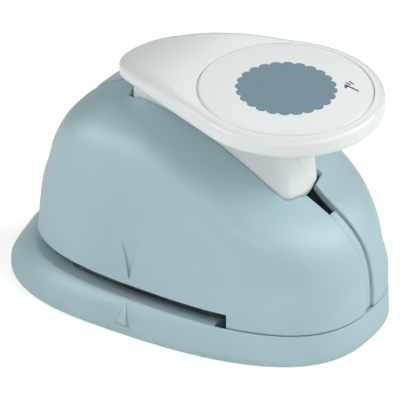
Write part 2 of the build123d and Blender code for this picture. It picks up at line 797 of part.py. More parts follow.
with BuildPart() as post_clips:
    add(retaining_rings(Plane.XY.offset(POST_CLIP_BOTTOM), POST_PLACES, CLIP_THICKNESS))
write(post_clips, "post_clips")

# Cheeks that carry the pivot pin
CHEEK_FOOT_TOP = GUIDE_TOP + CHEEK_THICKNESS
CHEEK_OUTLINE = (
    (CHEEK_FOOT_FRONT_X, GUIDE_TOP),
    (CHEEK_FOOT_REAR_X, GUIDE_TOP),
    (CHEEK_FOOT_REAR_X, CHEEK_SHOULDER_Z),
    (PIVOT_X + CHEEK_HEAD_RADIUS, PIVOT_Z),
    (PIVOT_X - CHEEK_HEAD_RADIUS, PIVOT_Z),
    (CHEEK_FOOT_FRONT_X, CHEEK_SHOULDER_Z),
)
with BuildPart() as side_cheek_far:
    add(prism(CHEEK_OUTLINE, CHEEK_INNER_Y, CHEEK_OUTER_Y))
    add(cross_rod(CHEEK_HEAD_RADIUS, PIVOT_X, PIVOT_Z, CHEEK_INNER_Y, CHEEK_OUTER_Y))
    add(
        block(
            CHEEK_FOOT_FRONT_X,
            CHEEK_FOOT_REAR_X,
            CHEEK_INNER_Y,
            CHEEK_OUTER_Y + CHEEK_FOOT_WIDTH,
            GUIDE_TOP,
            CHEEK_FOOT_TOP,
        )
    )
    add(
        cross_rod(PIVOT_PIN_RADIUS + THREAD_CLEARANCE, PIVOT_X, PIVOT_Z, 0, BASE_LENGTH),
        mode=Mode.SUBTRACT,
    )
    add(
        rods(CHEEK_SCREW_RADIUS + SCREW_CLEARANCE, CHEEK_SCREW_PLACES, 0, HOUSING_CREST),
        mode=Mode.SUBTRACT,
    )
write(side_cheek_far, "side_cheek_far")

with BuildPart() as side_cheek_near:
    mirror(side_cheek_far.part, about=Plane.XZ)
write(side_cheek_near, "side_cheek_near")

with BuildPart() as cheek_screws:
    add(
        pan_screws(
            CHEEK_SCREW_PLACES,
            CHEEK_FOOT_TOP,
            GUIDE_BOTTOM + SEATING_CLEARANCE,
            CHEEK_SCREW_RADIUS,
        )
    )
write(cheek_screws, "cheek_screws")

# Pivot pin, grooved for a retaining ring outside each cheek
PIN_END = PIVOT_PIN_LENGTH / 2
PIVOT_CLIP_Y = CHEEK_OUTER_Y + RUNNING_CLEARANCE
PIN_GROOVE_LOW = PIVOT_CLIP_Y - THREAD_CLEARANCE
PIN_GROOVE_HIGH = PIVOT_CLIP_Y + CLIP_THICKNESS + THREAD_CLEARANCE
with BuildPart() as pivot_pin:
    add(cross_rod(PIVOT_PIN_RADIUS, PIVOT_X, PIVOT_Z, -PIN_GROOVE_LOW, PIN_GROOVE_LOW))
    add(cross_rod(GROOVE_RADIUS, PIVOT_X, PIVOT_Z, -PIN_END, PIN_END))
    add(cross_rod(PIVOT_PIN_RADIUS, PIVOT_X, PIVOT_Z, PIN_GROOVE_HIGH, PIN_END))
    add(cross_rod(PIVOT_PIN_RADIUS, PIVOT_X, PIVOT_Z, -PIN_END, -PIN_GROOVE_HIGH))
write(pivot_pin, "pivot_pin")

with BuildPart() as pivot_clips:
    for plane in (Plane.XZ.offset(PIVOT_CLIP_Y), Plane.XZ.offset(-PIVOT_CLIP_Y - CLIP_THICKNESS)):
        add(retaining_rings(plane, [(PIVOT_X, PIVOT_Z)], CLIP_THICKNESS))
write(pivot_clips, "pivot_clips")

# Plunger with the cutter under its bar and the strike pad on its column
BAR_LENGTH = POST_SPACING + 2 * BAR_END_MARGIN
with BuildPart() as plunger:
    with BuildSketch(Plane.XY.offset(BAR_BOTTOM)):
        with Locations((DIE_CENTRE_X, 0)):
            SlotOverall(BAR_LENGTH, 2 * BAR_HALF_WIDTH)
    extrude(amount=BAR_THICKNESS)
    add(rods(COLUMN_RADIUS, [(DIE_CENTRE_X, 0)], BAR_BOTTOM, COLUMN_TOP))
    add(
        rods(POST_RADIUS + RUNNING_CLEARANCE, POST_PLACES, 0, HOUSING_CREST),
        mode=Mode.SUBTRACT,
    )
    add(rods(CLEAR_HOLE, CUTTER_SCREW_PLACES, 0, HOUSING_CREST), mode=Mode.SUBTRACT)
    add(
        rods(
            PAD_STEM_RADIUS + THREAD_CLEARANCE,
            [(DIE_CENTRE_X, 0)],
            COLUMN_TOP - PAD_STEM_LENGTH,
            HOUSING_CREST,
        ),
        mode=Mode.SUBTRACT,
    )
write(plunger, "plunger")

with BuildPart() as strike_pad:
    add(rods(PAD_HEAD_RADIUS, [(DIE_CENTRE_X, 0)], COLUMN_TOP, PAD_TOP))
    add(rods(PAD_STEM_RADIUS, [(DIE_CENTRE_X, 0)], COLUMN_TOP - PAD_STEM_LENGTH, COLUMN_TOP))
write(strike_pad, "strike_pad")

# The cutter's end is hollowed by a wide cylinder, so that its front and rear lobes bite first
SHEAR_RADIUS = (SCALLOP_TIP**2 + CUTTER_SHEAR_DEPTH**2) / (2 * CUTTER_SHEAR_DEPTH)
SHEAR_AXIS_Z = CUTTER_BOTTOM + CUTTER_SHEAR_DEPTH - SHEAR_RADIUS
CUTTER_SCREW_END = BAR_BOTTOM - CUTTER_SCREW_BITE
with BuildPart() as punch_cutter:
    add(scalloped(CUTTER_BOTTOM, BAR_BOTTOM))
    add(
        cross_rod(SHEAR_RADIUS, DIE_CENTRE_X, SHEAR_AXIS_Z, -BASE_LENGTH, BASE_LENGTH),
        mode=Mode.SUBTRACT,
    )
    add(
        rods(
            SCREW_RADIUS + THREAD_CLEARANCE,
            CUTTER_SCREW_PLACES,
            CUTTER_SCREW_END - THREAD_CLEARANCE,
            BAR_TOP,
        ),
        mode=Mode.SUBTRACT,
    )
write(punch_cutter, "punch_cutter")

with BuildPart() as cutter_screws:
    add(pan_screws(CUTTER_SCREW_PLACES, BAR_TOP, CUTTER_SCREW_END))
write(cutter_screws, "cutter_screws")


def coil(place):
    """Returns a compression spring between the guide plate and the bar, round a post."""
    wound = BAR_BOTTOM - GUIDE_TOP - 2 * SPRING_END_ROOM
    centre = (*place, GUIDE_TOP + SPRING_END_ROOM)
    with BuildPart() as body:
        with BuildLine() as path:
            Helix(wound / SPRING_TURNS, wound, SPRING_COIL_RADIUS, centre)
        with BuildSketch(Plane(origin=path.line @ 0, z_dir=path.line % 0)):
            Rectangle(SPRING_WIRE_WIDTH, SPRING_WIRE_WIDTH)
        sweep(is_frenet=True)
    return body.part


with BuildPart() as return_spring_front:
    add(coil(POST_PLACES[0]))
write(return_spring_front, "return_spring_front")

with BuildPart() as return_spring_rear:
    add(coil(POST_PLACES[1]))
write(return_spring_rear, "return_spring_rear")

# Lever moulding: an egg-shaped plate with a hollow underside, over a boxed skirt
PAD_TILT = math.radians(LEVER_PAD_TILT)
PAD_PLANE = Plane(
    origin=(LEVER_PAD_X, 0, LEVER_PAD_TOP), z_dir=(math.sin(PAD_TILT), 0, math.cos(PAD_TILT))
)


def under_line(tip_height, tip_slope, pad_drop):
    """Returns the space under a side line that runs from the lever's tip to its pad."""
    front_x = -LEVER_FRONT - CUT_OVERRUN
    rear_x = LEVER_PAD_X + LEVER_PAD_RADIUS + CUT_OVERRUN
    front = (front_x, tip_height - tip_slope * CUT_OVERRUN)
    pad = math.tan(PAD_TILT)
    flat = (LEVER_FLAT_START_X, LEVER_PAD_TOP - pad_drop + pad * (LEVER_PAD_X - LEVER_FLAT_START_X))
    rear = (rear_x, LEVER_PAD_TOP - pad_drop + pad * (LEVER_PAD_X - rear_x))
    with BuildPart() as body:
        with BuildSketch(Plane.XZ.offset(-BASE_HALF_WIDTH)):
            with BuildLine():
                Spline(front, flat, tangents=((1, tip_slope), (1, -pad)))
                Polyline(flat, rear, (rear_x, 0), (front_x, 0), front)
            make_face()
        extrude(amount=2 * BASE_HALF_WIDTH)
    return body.part

def skirt_block(inset):
    """Returns the skirt's block with its leaning nose, drawn in on every side."""
    half = SKIRT_HALF_WIDTH - inset
    front = SKIRT_FRONT_X + inset
    faces = []
    for height, lean in ((NOSE_BOTTOM, NOSE_LEAN), (LEVER_PAD_TOP, 0)):
        corner = SKIRT_CORNER_X - lean - inset
        with BuildSketch(Plane.XY.offset(height)) as outline:
            with BuildLine():
                ThreePointArc((corner, half), (NOSE_END_X - lean - inset, 0), (corner, -half))
                Polyline((corner, -half), (front, -half), (front, half), (corner, half))
            make_face()
        faces.append(outline.sketch)
    with BuildPart() as body:
        loft(faces, ruled=True)
    return body.part


def nose_facet(side):
    """Returns the plane that bevels one upright corner of the nose, widening upwards."""
    facet_top = LEVER_PAD_TOP - LEVER_RIM_DEPTH
    lean_rate = NOSE_LEAN / (LEVER_PAD_TOP - NOSE_BOTTOM)
    low_x = SKIRT_CORNER_X - lean_rate * (LEVER_PAD_TOP - NOSE_FACET_END)
    top_x = SKIRT_CORNER_X - lean_rate * LEVER_RIM_DEPTH
    apex = Vector(low_x, side * SKIRT_HALF_WIDTH, NOSE_FACET_END)
    on_side = Vector(top_x - NOSE_FACET, side * SKIRT_HALF_WIDTH, facet_top)
    on_nose = Vector(top_x, side * (SKIRT_HALF_WIDTH - NOSE_FACET), facet_top)
    normal = (on_side - apex).cross(on_nose - apex)
    return Plane(origin=apex, z_dir=normal * math.copysign(1, normal.X))


RIB_HALF_LENGTH = LEVER_PAD_RADIUS - LEVER_RIM_WALL / 2
with BuildPart() as ribs:
    for rib_x in RIB_PLACES:
        add(
            block(
                rib_x - RIB_THICKNESS / 2,
                rib_x + RIB_THICKNESS / 2,
                -RIB_HALF_LENGTH,
                RIB_HALF_LENGTH,
                RIB_BOTTOM,
                2 * HOUSING_CREST,
            )
        )
with BuildPart() as lever_plate:
    extrude(LEVER_EGG.face(RIB_BOTTOM), amount=HOUSING_CREST)
    add(under_line(LEVER_TIP_TOP, LEVER_TIP_SLOPE, 0), mode=Mode.INTERSECT)
    add(
        under_line(LEVER_TIP_TOP - LEVER_TIP_DEPTH, LEVER_TIP_LOW_SLOPE, LEVER_RIM_DEPTH),
        mode=Mode.SUBTRACT,
    )
    rim_edges = lever_plate.edges().filter_by(GeomType.LINE, reverse=True)
    fillet(rim_edges.filter_by(lambda edge: edge.center().Z > LEVER_TOP_RIM_Z), LEVER_TOP_FILLET)
    rim_edges = lever_plate.edges().filter_by(GeomType.LINE, reverse=True)
    fillet(rim_edges.filter_by(lambda edge: edge.center().Z < LEVER_LOW_RIM_Z), LEVER_LOW_FILLET)
skin_space = under_line(LEVER_TIP_TOP - LEVER_SKIN, LEVER_TIP_SLOPE, LEVER_SKIN)
with BuildPart() as pad_hollow:
    extrude(LEVER_EGG.shrunk(LEVER_RIM_WALL).face(RIB_BOTTOM), amount=HOUSING_CREST)
    add(
        block(
            LEVER_HOLLOW_FRONT_X, BASE_LENGTH, -BASE_LENGTH, BASE_LENGTH, 0, 2 * HOUSING_CREST
        ),
        mode=Mode.INTERSECT,
    )
    add(skin_space, mode=Mode.INTERSECT)
    add(ribs.part, mode=Mode.SUBTRACT)
with BuildPart() as skirt_hollow:
    add(skirt_block(SKIRT_WALL))
    add(skin_space, mode=Mode.INTERSECT)
    add(ribs.part, mode=Mode.SUBTRACT)
with BuildPart() as lever_skirt:
    add(skirt_block(0))
    add(
        prism(
            (
                (SKIRT_FRONT_X - CUT_OVERRUN, SKIRT_FRONT_BOTTOM),
                (SKIRT_FRONT_X, SKIRT_FRONT_BOTTOM),
                (SKIRT_CHIN_X, SKIRT_CHIN_BOTTOM),
                (SKIRT_CORNER_X, NOSE_BOTTOM),
                (NOSE_END_X + CUT_OVERRUN, NOSE_BOTTOM),
                (NOSE_END_X + CUT_OVERRUN, LEVER_PAD_TOP),
                (SKIRT_FRONT_X - CUT_OVERRUN, LEVER_PAD_TOP),
            ),
            -BASE_LENGTH,
            BASE_LENGTH,
        ),
        mode=Mode.INTERSECT,
    )
    add(
        under_line(LEVER_TIP_TOP - LEVER_SKIN / 2, LEVER_TIP_SLOPE, LEVER_SKIN / 2),
        mode=Mode.INTERSECT,
    )
    for side in (1, -1):
        split(bisect_by=nose_facet(side), keep=Keep.BOTTOM)
with BuildPart() as lever:
    add(lever_plate.part)
    add(pad_hollow.part, mode=Mode.SUBTRACT)
    add(lever_skirt.part)
    add(skirt_hollow.part, mode=Mode.SUBTRACT)
    add(cross_rod(HUB_RADIUS, PIVOT_X, PIVOT_Z, -HUB_HALF_LENGTH, HUB_HALF_LENGTH))
    add(
        cross_rod(
            PIVOT_PIN_RADIUS + RUNNING_CLEARANCE, PIVOT_X, PIVOT_Z, -BASE_LENGTH, BASE_LENGTH
        ),
        mode=Mode.SUBTRACT,
    )
    add(
        cross_rod(
            PUSH_PIN_RADIUS + THREAD_CLEARANCE, DIE_CENTRE_X, PIVOT_Z, -BASE_LENGTH, BASE_LENGTH
        ),
        mode=Mode.SUBTRACT,
    )
    with BuildSketch(PAD_PLANE):
        Circle(DISC_RADIUS + DISC_GAP)
    extrude(amount=DISC_THICKNESS, both=True, mode=Mode.SUBTRACT)
write(lever, "lever")

with BuildPart() as pad_disc:
    with BuildSketch(PAD_PLANE):
        Circle(DISC_RADIUS)
    extrude(amount=-DISC_THICKNESS)
write(pad_disc, "pad_disc")

with BuildPart() as push_pin:
    add(
        cross_rod(
            PUSH_PIN_RADIUS, DIE_CENTRE_X, PIVOT_Z, -SKIRT_HALF_WIDTH, SKIRT_HALF_WIDTH
        )
    )
write(push_pin, "push_pin")
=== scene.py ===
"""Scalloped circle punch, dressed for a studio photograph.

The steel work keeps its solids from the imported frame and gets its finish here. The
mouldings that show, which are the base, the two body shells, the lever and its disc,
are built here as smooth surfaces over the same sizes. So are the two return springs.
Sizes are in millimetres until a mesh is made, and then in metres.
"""

import json
import logging
import math
from collections.abc import Callable, Sequence
from dataclasses import astuple, dataclass, replace
from enum import Enum
from functools import cache

import bmesh
import bpy
import numpy as np
from bmesh.types import BMEdge, BMesh
from bpy.types import Material, Node, NodeSocket, NodeTree, Object
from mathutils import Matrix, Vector


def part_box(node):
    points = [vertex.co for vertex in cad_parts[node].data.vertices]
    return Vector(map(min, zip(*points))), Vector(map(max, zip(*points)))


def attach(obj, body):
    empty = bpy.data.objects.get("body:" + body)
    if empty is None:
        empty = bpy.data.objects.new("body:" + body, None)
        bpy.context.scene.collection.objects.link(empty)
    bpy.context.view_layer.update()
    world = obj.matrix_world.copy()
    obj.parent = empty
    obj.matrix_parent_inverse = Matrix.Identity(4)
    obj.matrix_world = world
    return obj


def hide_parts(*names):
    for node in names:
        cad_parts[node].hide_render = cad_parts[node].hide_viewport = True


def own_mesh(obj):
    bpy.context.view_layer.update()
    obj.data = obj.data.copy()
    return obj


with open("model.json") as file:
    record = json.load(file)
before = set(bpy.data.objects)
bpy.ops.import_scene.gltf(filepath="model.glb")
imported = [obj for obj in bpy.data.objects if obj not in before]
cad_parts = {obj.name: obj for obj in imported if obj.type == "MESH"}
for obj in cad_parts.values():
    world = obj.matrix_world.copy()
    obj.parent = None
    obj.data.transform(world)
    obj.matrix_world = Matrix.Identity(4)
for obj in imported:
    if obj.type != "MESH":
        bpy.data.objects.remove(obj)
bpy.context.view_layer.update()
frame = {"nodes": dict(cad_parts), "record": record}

MM = 0.001
TOUCH = 0.01  # Points closer than this to a line count as on it
MERGE = 1e-4  # Points closer together than this are one
CREASE_DEG = 32.0  # Edges sharper than this stay sharp
FINE = 2881  # Points on a curve before they are spaced evenly
CORNER_POINTS = 9  # Points round a rounded corner in plan
WHITE = (1.0, 1.0, 1.0, 1.0)
LOG = logging.getLogger("punch")


class Body(Enum):
    """The rigid bodies that pieces ride on."""

    ROOT = "root"
    LEVER_ARM = "lever_arm"


class Slot(Enum):
    """The record's material slots."""

    BODY = "body_plastic"
    COVER = "cover_plastic"
    NYLON = "black_plastic"
    LEVER = "lever_plastic"
    GROUND = "ground_steel"
    ZINC = "zinc_steel"
    SPRING = "spring_steel"


# ---------------------------------------------------------------- finishes


def linear(code: str) -> tuple[float, float, float, float]:
    """Turns an sRGB hex colour into linear values.

    Args:
        code: Six hex digits.

    Returns:
        Red, green, blue and an alpha of 1.
    """
    values = []
    for start in (0, 2, 4):
        share = int(code[start : start + 2], 16) / 255
        values.append(share / 12.92 if share <= 0.04045 else ((share + 0.055) / 1.055) ** 2.4)
    return (values[0], values[1], values[2], 1.0)


def add_node(
    tree: NodeTree,
    kind: str,
    settings: dict | None = None,
    links: dict | None = None,
) -> Node:
    """Adds a shader node with its settings and the links into it.

    Args:
        tree: The node tree.
        kind: The node's type name.
        settings: Attribute names, or input names and numbers, to values.
        links: Input names or numbers to the output sockets that feed them.

    Returns:
        The new node.
    """
    node = tree.nodes.new(kind)
    for key, value in (settings or {}).items():
        if isinstance(key, int) or key in node.inputs:
            node.inputs[key].default_value = value
        else:
            setattr(node, key, value)
    for key, source in (links or {}).items():
        tree.links.new(source, node.inputs[key])
    return node


def new_tree(name: str) -> tuple[Material, NodeTree]:
    """Makes an empty node material.

    Args:
        name: The material's name.

    Returns:
        The material and its node tree.
    """
    material = bpy.data.materials.new(name)
    material.use_nodes = True
    material.node_tree.nodes.clear()
    return material, material.node_tree


def noise(
    tree: NodeTree,
    place: NodeSocket,
    size_mm: float,
    detail: float,
    roughness: float = 0.5,
) -> NodeSocket:
    """Adds a noise texture with features of a real size and returns its value."""
    settings = {"Scale": 1 / (size_mm * MM), "Detail": detail, "Roughness": roughness}
    return add_node(tree, "ShaderNodeTexNoise", settings, {"Vector": place}).outputs["Fac"]


def tones(
    tree: NodeTree,
    source: NodeSocket,
    places: tuple[float, float],
    codes: tuple[str, str],
) -> NodeSocket:
    """Adds a ramp between two colours.

    Args:
        tree: The node tree.
        source: The value that runs along the ramp.
        places: The values at the ramp's ends.
        codes: The sRGB colours at its ends.

    Returns:
        The ramp's colour.
    """
    ramp = add_node(tree, "ShaderNodeValToRGB", {}, {"Fac": source})
    for element, place, code in zip(ramp.color_ramp.elements, places, codes):
        element.position = place
        element.color = linear(code)
    return ramp.outputs["Color"]


def add_surface(tree: NodeTree, settings: dict, links: dict) -> None:
    """Adds the principled shader, and the output that shows it."""
    shader = add_node(tree, "ShaderNodeBsdfPrincipled", settings, links)
    add_node(tree, "ShaderNodeOutputMaterial", {}, {"Surface": shader.outputs["BSDF"]})


@dataclass(frozen=True)
class MouldedPlastic:
    """A moulded thermoplastic with a spark-eroded grain.

    The tool's grain gives the satin look: the highlight spreads wide and breaks up finely.
    Slow changes in tone and gloss stand for flow and handling.
    """

    name: str
    colour: str
    shade: str
    roughness: float
    gloss_swing: float = 0.035
    gloss_range: tuple[float, float] = (0.3, 0.7)
    tone_range: tuple[float, float] = (0.36, 0.62)
    ior: float = 1.53
    grain_mm: float = 0.35
    grain_depth_mm: float = 0.012
    grain_strength: float = 0.35
    grain_noise: tuple[float, float] = (2.0, 0.6)
    flow_mm: float = 28.0
    flow_noise: tuple[float, float] = (3.0, 0.55)
    edge_mm: float = 0.4
    edge_samples: int = 6

    def material(self) -> Material:
        """Builds the material.

        Returns:
            A plastic with a fine grain and slow changes in tone and gloss.
        """
        material, tree = new_tree(self.name)
        place = add_node(tree, "ShaderNodeTexCoord").outputs["Object"]
        flow = noise(tree, place, self.flow_mm, *self.flow_noise)
        grain = noise(tree, place, self.grain_mm, *self.grain_noise)
        low, high = self.gloss_range
        swing = {
            "From Min": low,
            "From Max": high,
            "To Min": self.roughness - self.gloss_swing,
            "To Max": self.roughness + self.gloss_swing,
        }
        gloss = add_node(tree, "ShaderNodeMapRange", swing, {"Value": flow})
        rounding = {"samples": self.edge_samples, "Radius": self.edge_mm * MM}
        edge = add_node(tree, "ShaderNodeBevel", rounding)
        bump = add_node(
            tree,
            "ShaderNodeBump",
            {"Strength": self.grain_strength, "Distance": self.grain_depth_mm * MM},
            {"Height": grain, "Normal": edge.outputs["Normal"]},
        )
        links = {
            "Base Color": tones(tree, flow, self.tone_range, (self.shade, self.colour)),
            "Roughness": gloss.outputs["Result"],
            "Normal": bump.outputs["Normal"],
        }
        add_surface(tree, {"IOR": self.ior}, links)
        return material


@dataclass(frozen=True)
class Steel:
    """A steel part with the lay that its finishing left.

    Ground plates carry fine parallel scratches, and zinc plate a soft bluish mottle.
    """

    name: str
    colour: str
    dark: str
    roughness: float
    scratch_mm: float
    scratch_stretch: float
    scratch_depth_mm: float = 0.01
    scratch_strength: float = 0.3
    duller: float = 0.1
    glossier: float = 0.08
    scratch_detail: float = 4.0
    mottle_mm: float = 4.0
    mottle_detail: float = 3.0
    tone_range: tuple[float, float] = (0.35, 0.65)

    def material(self) -> Material:
        """Builds the material.

        Returns:
            A metal with scratches along X and a mottle.
        """
        material, tree = new_tree(self.name)
        place = add_node(tree, "ShaderNodeTexCoord").outputs["Object"]
        stretch = {"Scale": (1 / self.scratch_stretch, 1.0, 1.0)}
        stretched = add_node(tree, "ShaderNodeMapping", stretch, {"Vector": place})
        along = stretched.outputs["Vector"]
        scratches = noise(tree, along, self.scratch_mm, self.scratch_detail)
        mottle = noise(tree, place, self.mottle_mm, self.mottle_detail)
        swing = {"To Min": self.roughness - self.glossier, "To Max": self.roughness + self.duller}
        gloss = add_node(tree, "ShaderNodeMapRange", swing, {"Value": scratches})
        depth = {"Strength": self.scratch_strength, "Distance": self.scratch_depth_mm * MM}
        bump = add_node(tree, "ShaderNodeBump", depth, {"Height": scratches})
        links = {
            "Base Color": tones(tree, mottle, self.tone_range, (self.dark, self.colour)),
            "Roughness": gloss.outputs["Result"],
            "Normal": bump.outputs["Normal"],
        }
        add_surface(tree, {"Metallic": 1.0}, links)
        return material


@dataclass(frozen=True)
class PadPrint:
    """A pad-printed ink film: flat, slightly rough, with a fine speckle where it is thin."""

    name: str
    colour: str
    thin: str
    speckle_mm: float = 0.45
    speckle_noise: tuple[float, float] = (3.0, 0.7)
    tone_range: tuple[float, float] = (0.35, 0.68)
    roughness: float = 0.55
    ior: float = 1.48

    def material(self) -> Material:
        """Builds the material.

        Returns:
            A rough film with a fine speckle.
        """
        material, tree = new_tree(self.name)
        place = add_node(tree, "ShaderNodeTexCoord").outputs["Object"]
        speckle = noise(tree, place, self.speckle_mm, *self.speckle_noise)
        colour = tones(tree, speckle, self.tone_range, (self.colour, self.thin))
        settings = {"Roughness": self.roughness, "IOR": self.ior}
        add_surface(tree, settings, {"Base Color": colour})
        return material


Finish = MouldedPlastic | Steel | PadPrint

BODY_ABS = MouldedPlastic("grained_abs_grey_blue", "A3BEC3", "9FB9BE", 0.46)
COVER_PP = MouldedPlastic("grained_polypropylene_dark", "4E5F66", "485860", 0.55)
LEVER_ABS = MouldedPlastic("polished_abs_off_white", "DDE2E2", "DADFDF", 0.34, edge_mm=0.3)
NYLON = MouldedPlastic("glass_filled_nylon_black", "26282A", "1F2123", 0.5)
GROUND_STEEL = Steel("ground_tool_steel", "B9BBBD", "A6A8AB", 0.28, 0.15, 14.0)
ZINC_STEEL = Steel("zinc_plated_steel", "C3C6CB", "A9ADB5", 0.36, 0.5, 1.0)
SPRING_STEEL = Steel("drawn_spring_steel", "8E8F92", "77787B", 0.3, 0.2, 8.0)
PRINT_INK = PadPrint("slate_pad_print", "6C848F", "778F9A")
MARK_INK = PadPrint("dark_slate_pad_print", "4A5B66", "55656F")

CAD_FINISHES = {
    Slot.BODY: BODY_ABS,
    Slot.COVER: COVER_PP,
    Slot.NYLON: NYLON,
    Slot.LEVER: LEVER_ABS,
    Slot.GROUND: GROUND_STEEL,
    Slot.ZINC: ZINC_STEEL,
    Slot.SPRING: SPRING_STEEL,
}


@cache
def dressed(finish: Finish) -> Material:
    """Returns the material of a finish, made once."""
    return finish.material()


# ---------------------------------------------------------------- outlines and meshes


def even_loop(half: np.ndarray, count: int) -> np.ndarray:
    """Spaces points evenly along half an outline and closes it with the mirror image.

    Args:
        half: Points on the +Y side, from the front tip to the tail.
        count: An even number of points for the whole outline.

    Returns:
        An array of X and Y that starts at the front tip and runs by +Y.
    """
    run = np.concatenate([[0], np.cumsum(np.hypot(*np.diff(half, axis=0).T))])
    even = np.linspace(0, run[-1], count // 2 + 1)
    upper = np.column_stack([np.interp(even, run, half[:, axis]) for axis in (0, 1)])
    return np.vstack([upper, upper[-2:0:-1] * (1, -1)])


@dataclass(frozen=True)
class Egg:
    """A plan outline whose front and rear halves are superellipses."""

    front: float
    rear: float
    half_width: float
    wide_x: float
    front_power: float
    rear_power: float

    def shrunk(self, inset: float) -> "Egg":
        """Returns the outline drawn in by the inset on every side."""
        front, rear, half_width = (size - inset for size in astuple(self)[:3])
        return replace(self, front=front, rear=rear, half_width=half_width)

    def blended(self, other: "Egg", share: float) -> "Egg":
        """Returns the outline part of the way to another one."""
        here = np.array(astuple(self))
        return Egg(*(here + (np.array(astuple(other)) - here) * share))

    def outline(self, count: int) -> np.ndarray:
        """Spaces points evenly round the outline.

        Args:
            count: An even number of points.

        Returns:
            An array of X and Y that starts at the front tip and runs by +Y.
        """
        turn = np.linspace(0, math.pi, FINE)
        in_front = turn < math.pi / 2
        power = np.where(in_front, self.front_power, self.rear_power)
        reach = np.where(in_front, -self.front - self.wide_x, self.rear - self.wide_x)
        x = self.wide_x + reach * np.abs(np.cos(turn)) ** (2 / power)
        y = self.half_width * np.sin(turn).clip(0) ** (2 / power)
        return even_loop(np.column_stack([x, y]), count)


def smooth_rows(rows: np.ndarray, steps: int) -> np.ndarray:
    """Runs a smooth curve through the rows of a table.

    Args:
        rows: One row of values for each station.
        steps: The number of steps from one station to the next.

    Returns:
        The table with the steps between its stations filled in.
    """
    padded = np.vstack([2 * rows[0] - rows[1], rows, 2 * rows[-1] - rows[-2]])
    filled = []
    for i in range(1, len(padded) - 2):
        a, b, c, d = padded[i - 1 : i + 3]
        for step in range(steps):
            t = step / steps
            filled.append(
                b
                + 0.5 * t * (c - a + t * (2 * a - 5 * b + 4 * c - d + t * (3 * (b - c) + d - a)))
            )
    filled.append(padded[-2])
    return np.array(filled)


def at_height(outline: np.ndarray, height: float | np.ndarray) -> np.ndarray:
    """Returns the outline's points in space, at one height or one for each point."""
    return np.column_stack([outline, np.broadcast_to(height, len(outline))])


def skin(rings: Sequence[np.ndarray], caps: tuple[bool, bool]) -> BMesh:
    """Joins closed rings of equal count into one surface.

    Args:
        rings: Rings of points, in order along the surface.
        caps: Whether the first and the last ring are closed by a face.

    Returns:
        A mesh in millimetres.
    """
    mesh = bmesh.new()
    loops = [[mesh.verts.new(point) for point in ring] for ring in rings]
    for low, high in zip(loops, loops[1:]):
        for i, vert in enumerate(low):
            j = (i + 1) % len(low)
            mesh.faces.new((vert, low[j], high[j], high[i]))
    if caps[0]:
        mesh.faces.new(loops[0][::-1])
    if caps[1]:
        mesh.faces.new(loops[-1])
    bmesh.ops.recalc_face_normals(mesh, faces=mesh.faces[:])
    return mesh


def prism(outline: Sequence[Sequence[float]], low: float, high: float) -> BMesh:
    """Returns an upright prism over an outline."""
    points = np.array(outline, float)
    return skin([at_height(points, low), at_height(points, high)], (True, True))


def quarter(count: int) -> list[tuple[float, float]]:
    """Returns 1 - cosine and 1 - sine at even steps of a quarter turn."""
    turns = np.linspace(0, math.pi / 2, count)
    return [(1 - math.cos(turn), 1 - math.sin(turn)) for turn in turns]


def box_mesh(low: Sequence[float], high: Sequence[float]) -> BMesh:
    """Returns the box between two corners."""
    (x0, y0, z0), (x1, y1, z1) = low, high
    return prism([(x0, y0), (x1, y0), (x1, y1), (x0, y1)], z0, z1)


def circle(x: float, radius: float, count: int = 96) -> np.ndarray:
    """Returns points round a circle whose centre is on the X axis."""
    turn = np.linspace(0, math.tau, count, endpoint=False)
    return np.column_stack([x + radius * np.cos(turn), radius * np.sin(turn)])


def rounded_rectangle(low_x: float, high_x: float, half_width: float, corner: float) -> np.ndarray:
    """Draws a rectangle with rounded corners.

    Args:
        low_x: Its lowest X.
        high_x: Its highest X.
        half_width: Its highest Y, mirrored about the X axis.
        corner: Its corners' radius.

    Returns:
        The points of its outline.
    """
    high, low, side = high_x - corner, low_x + corner, half_width - corner
    points = []
    for number, centre in enumerate(((high, side), (low, side), (low, -side), (high, -side))):
        turn = (number + np.linspace(0, 1, CORNER_POINTS)) * math.pi / 2
        points.append(centre + corner * np.column_stack([np.cos(turn), np.sin(turn)]))
    return np.vstack(points)


def slice_mesh(
    mesh: BMesh,
    point: Sequence[float],
    normal: Sequence[float],
    ends: tuple[Sequence[float], Sequence[float]] | None = None,
) -> None:
    """Cuts every face that a plane crosses into two, without opening the mesh.

    Args:
        mesh: The mesh.
        point: A point of the plane.
        normal: The plane's normal.
        ends: The ends of a line in plan, where only the faces along it are cut.
    """
    margin = 0.1  # Faces this far past the ends are cut too
    for part in (mesh.verts, mesh.edges, mesh.faces):
        part.index_update()
    faces = mesh.faces[:]
    for axis in (0, 1) if ends else ():
        low, high = sorted(end[axis] for end in ends)
        faces = [
            face
            for face in faces
            if min(v.co[axis] for v in face.verts) < high + margin
            and max(v.co[axis] for v in face.verts) > low - margin
        ]
    verts = sorted({vert for face in faces for vert in face.verts}, key=lambda v: v.index)
    edges = sorted({edge for face in faces for edge in face.edges}, key=lambda e: e.index)
    geometry = verts + edges + faces
    bmesh.ops.bisect_plane(mesh, geom=geometry, dist=MERGE, plane_co=point, plane_no=normal)


def clip_mesh(mesh: BMesh, planes: Sequence[tuple[Sequence[float], Sequence[float]]]) -> BMesh:
    """Cuts a closed mesh off at planes.

    Args:
        mesh: The mesh.
        planes: A point and an outward normal for each plane.

    Returns:
        The same mesh, closed again.
    """
    for point, normal in planes:
        geometry = mesh.verts[:] + mesh.edges[:] + mesh.faces[:]
        cut = bmesh.ops.bisect_plane(
            mesh, geom=geometry, plane_co=point, plane_no=normal, clear_outer=True
        )
        edges = [item for item in cut["geom_cut"] if isinstance(item, BMEdge)]
        if edges:
            bmesh.ops.contextual_create(mesh, geom=edges)
    bmesh.ops.recalc_face_normals(mesh, faces=mesh.faces[:])
    return mesh


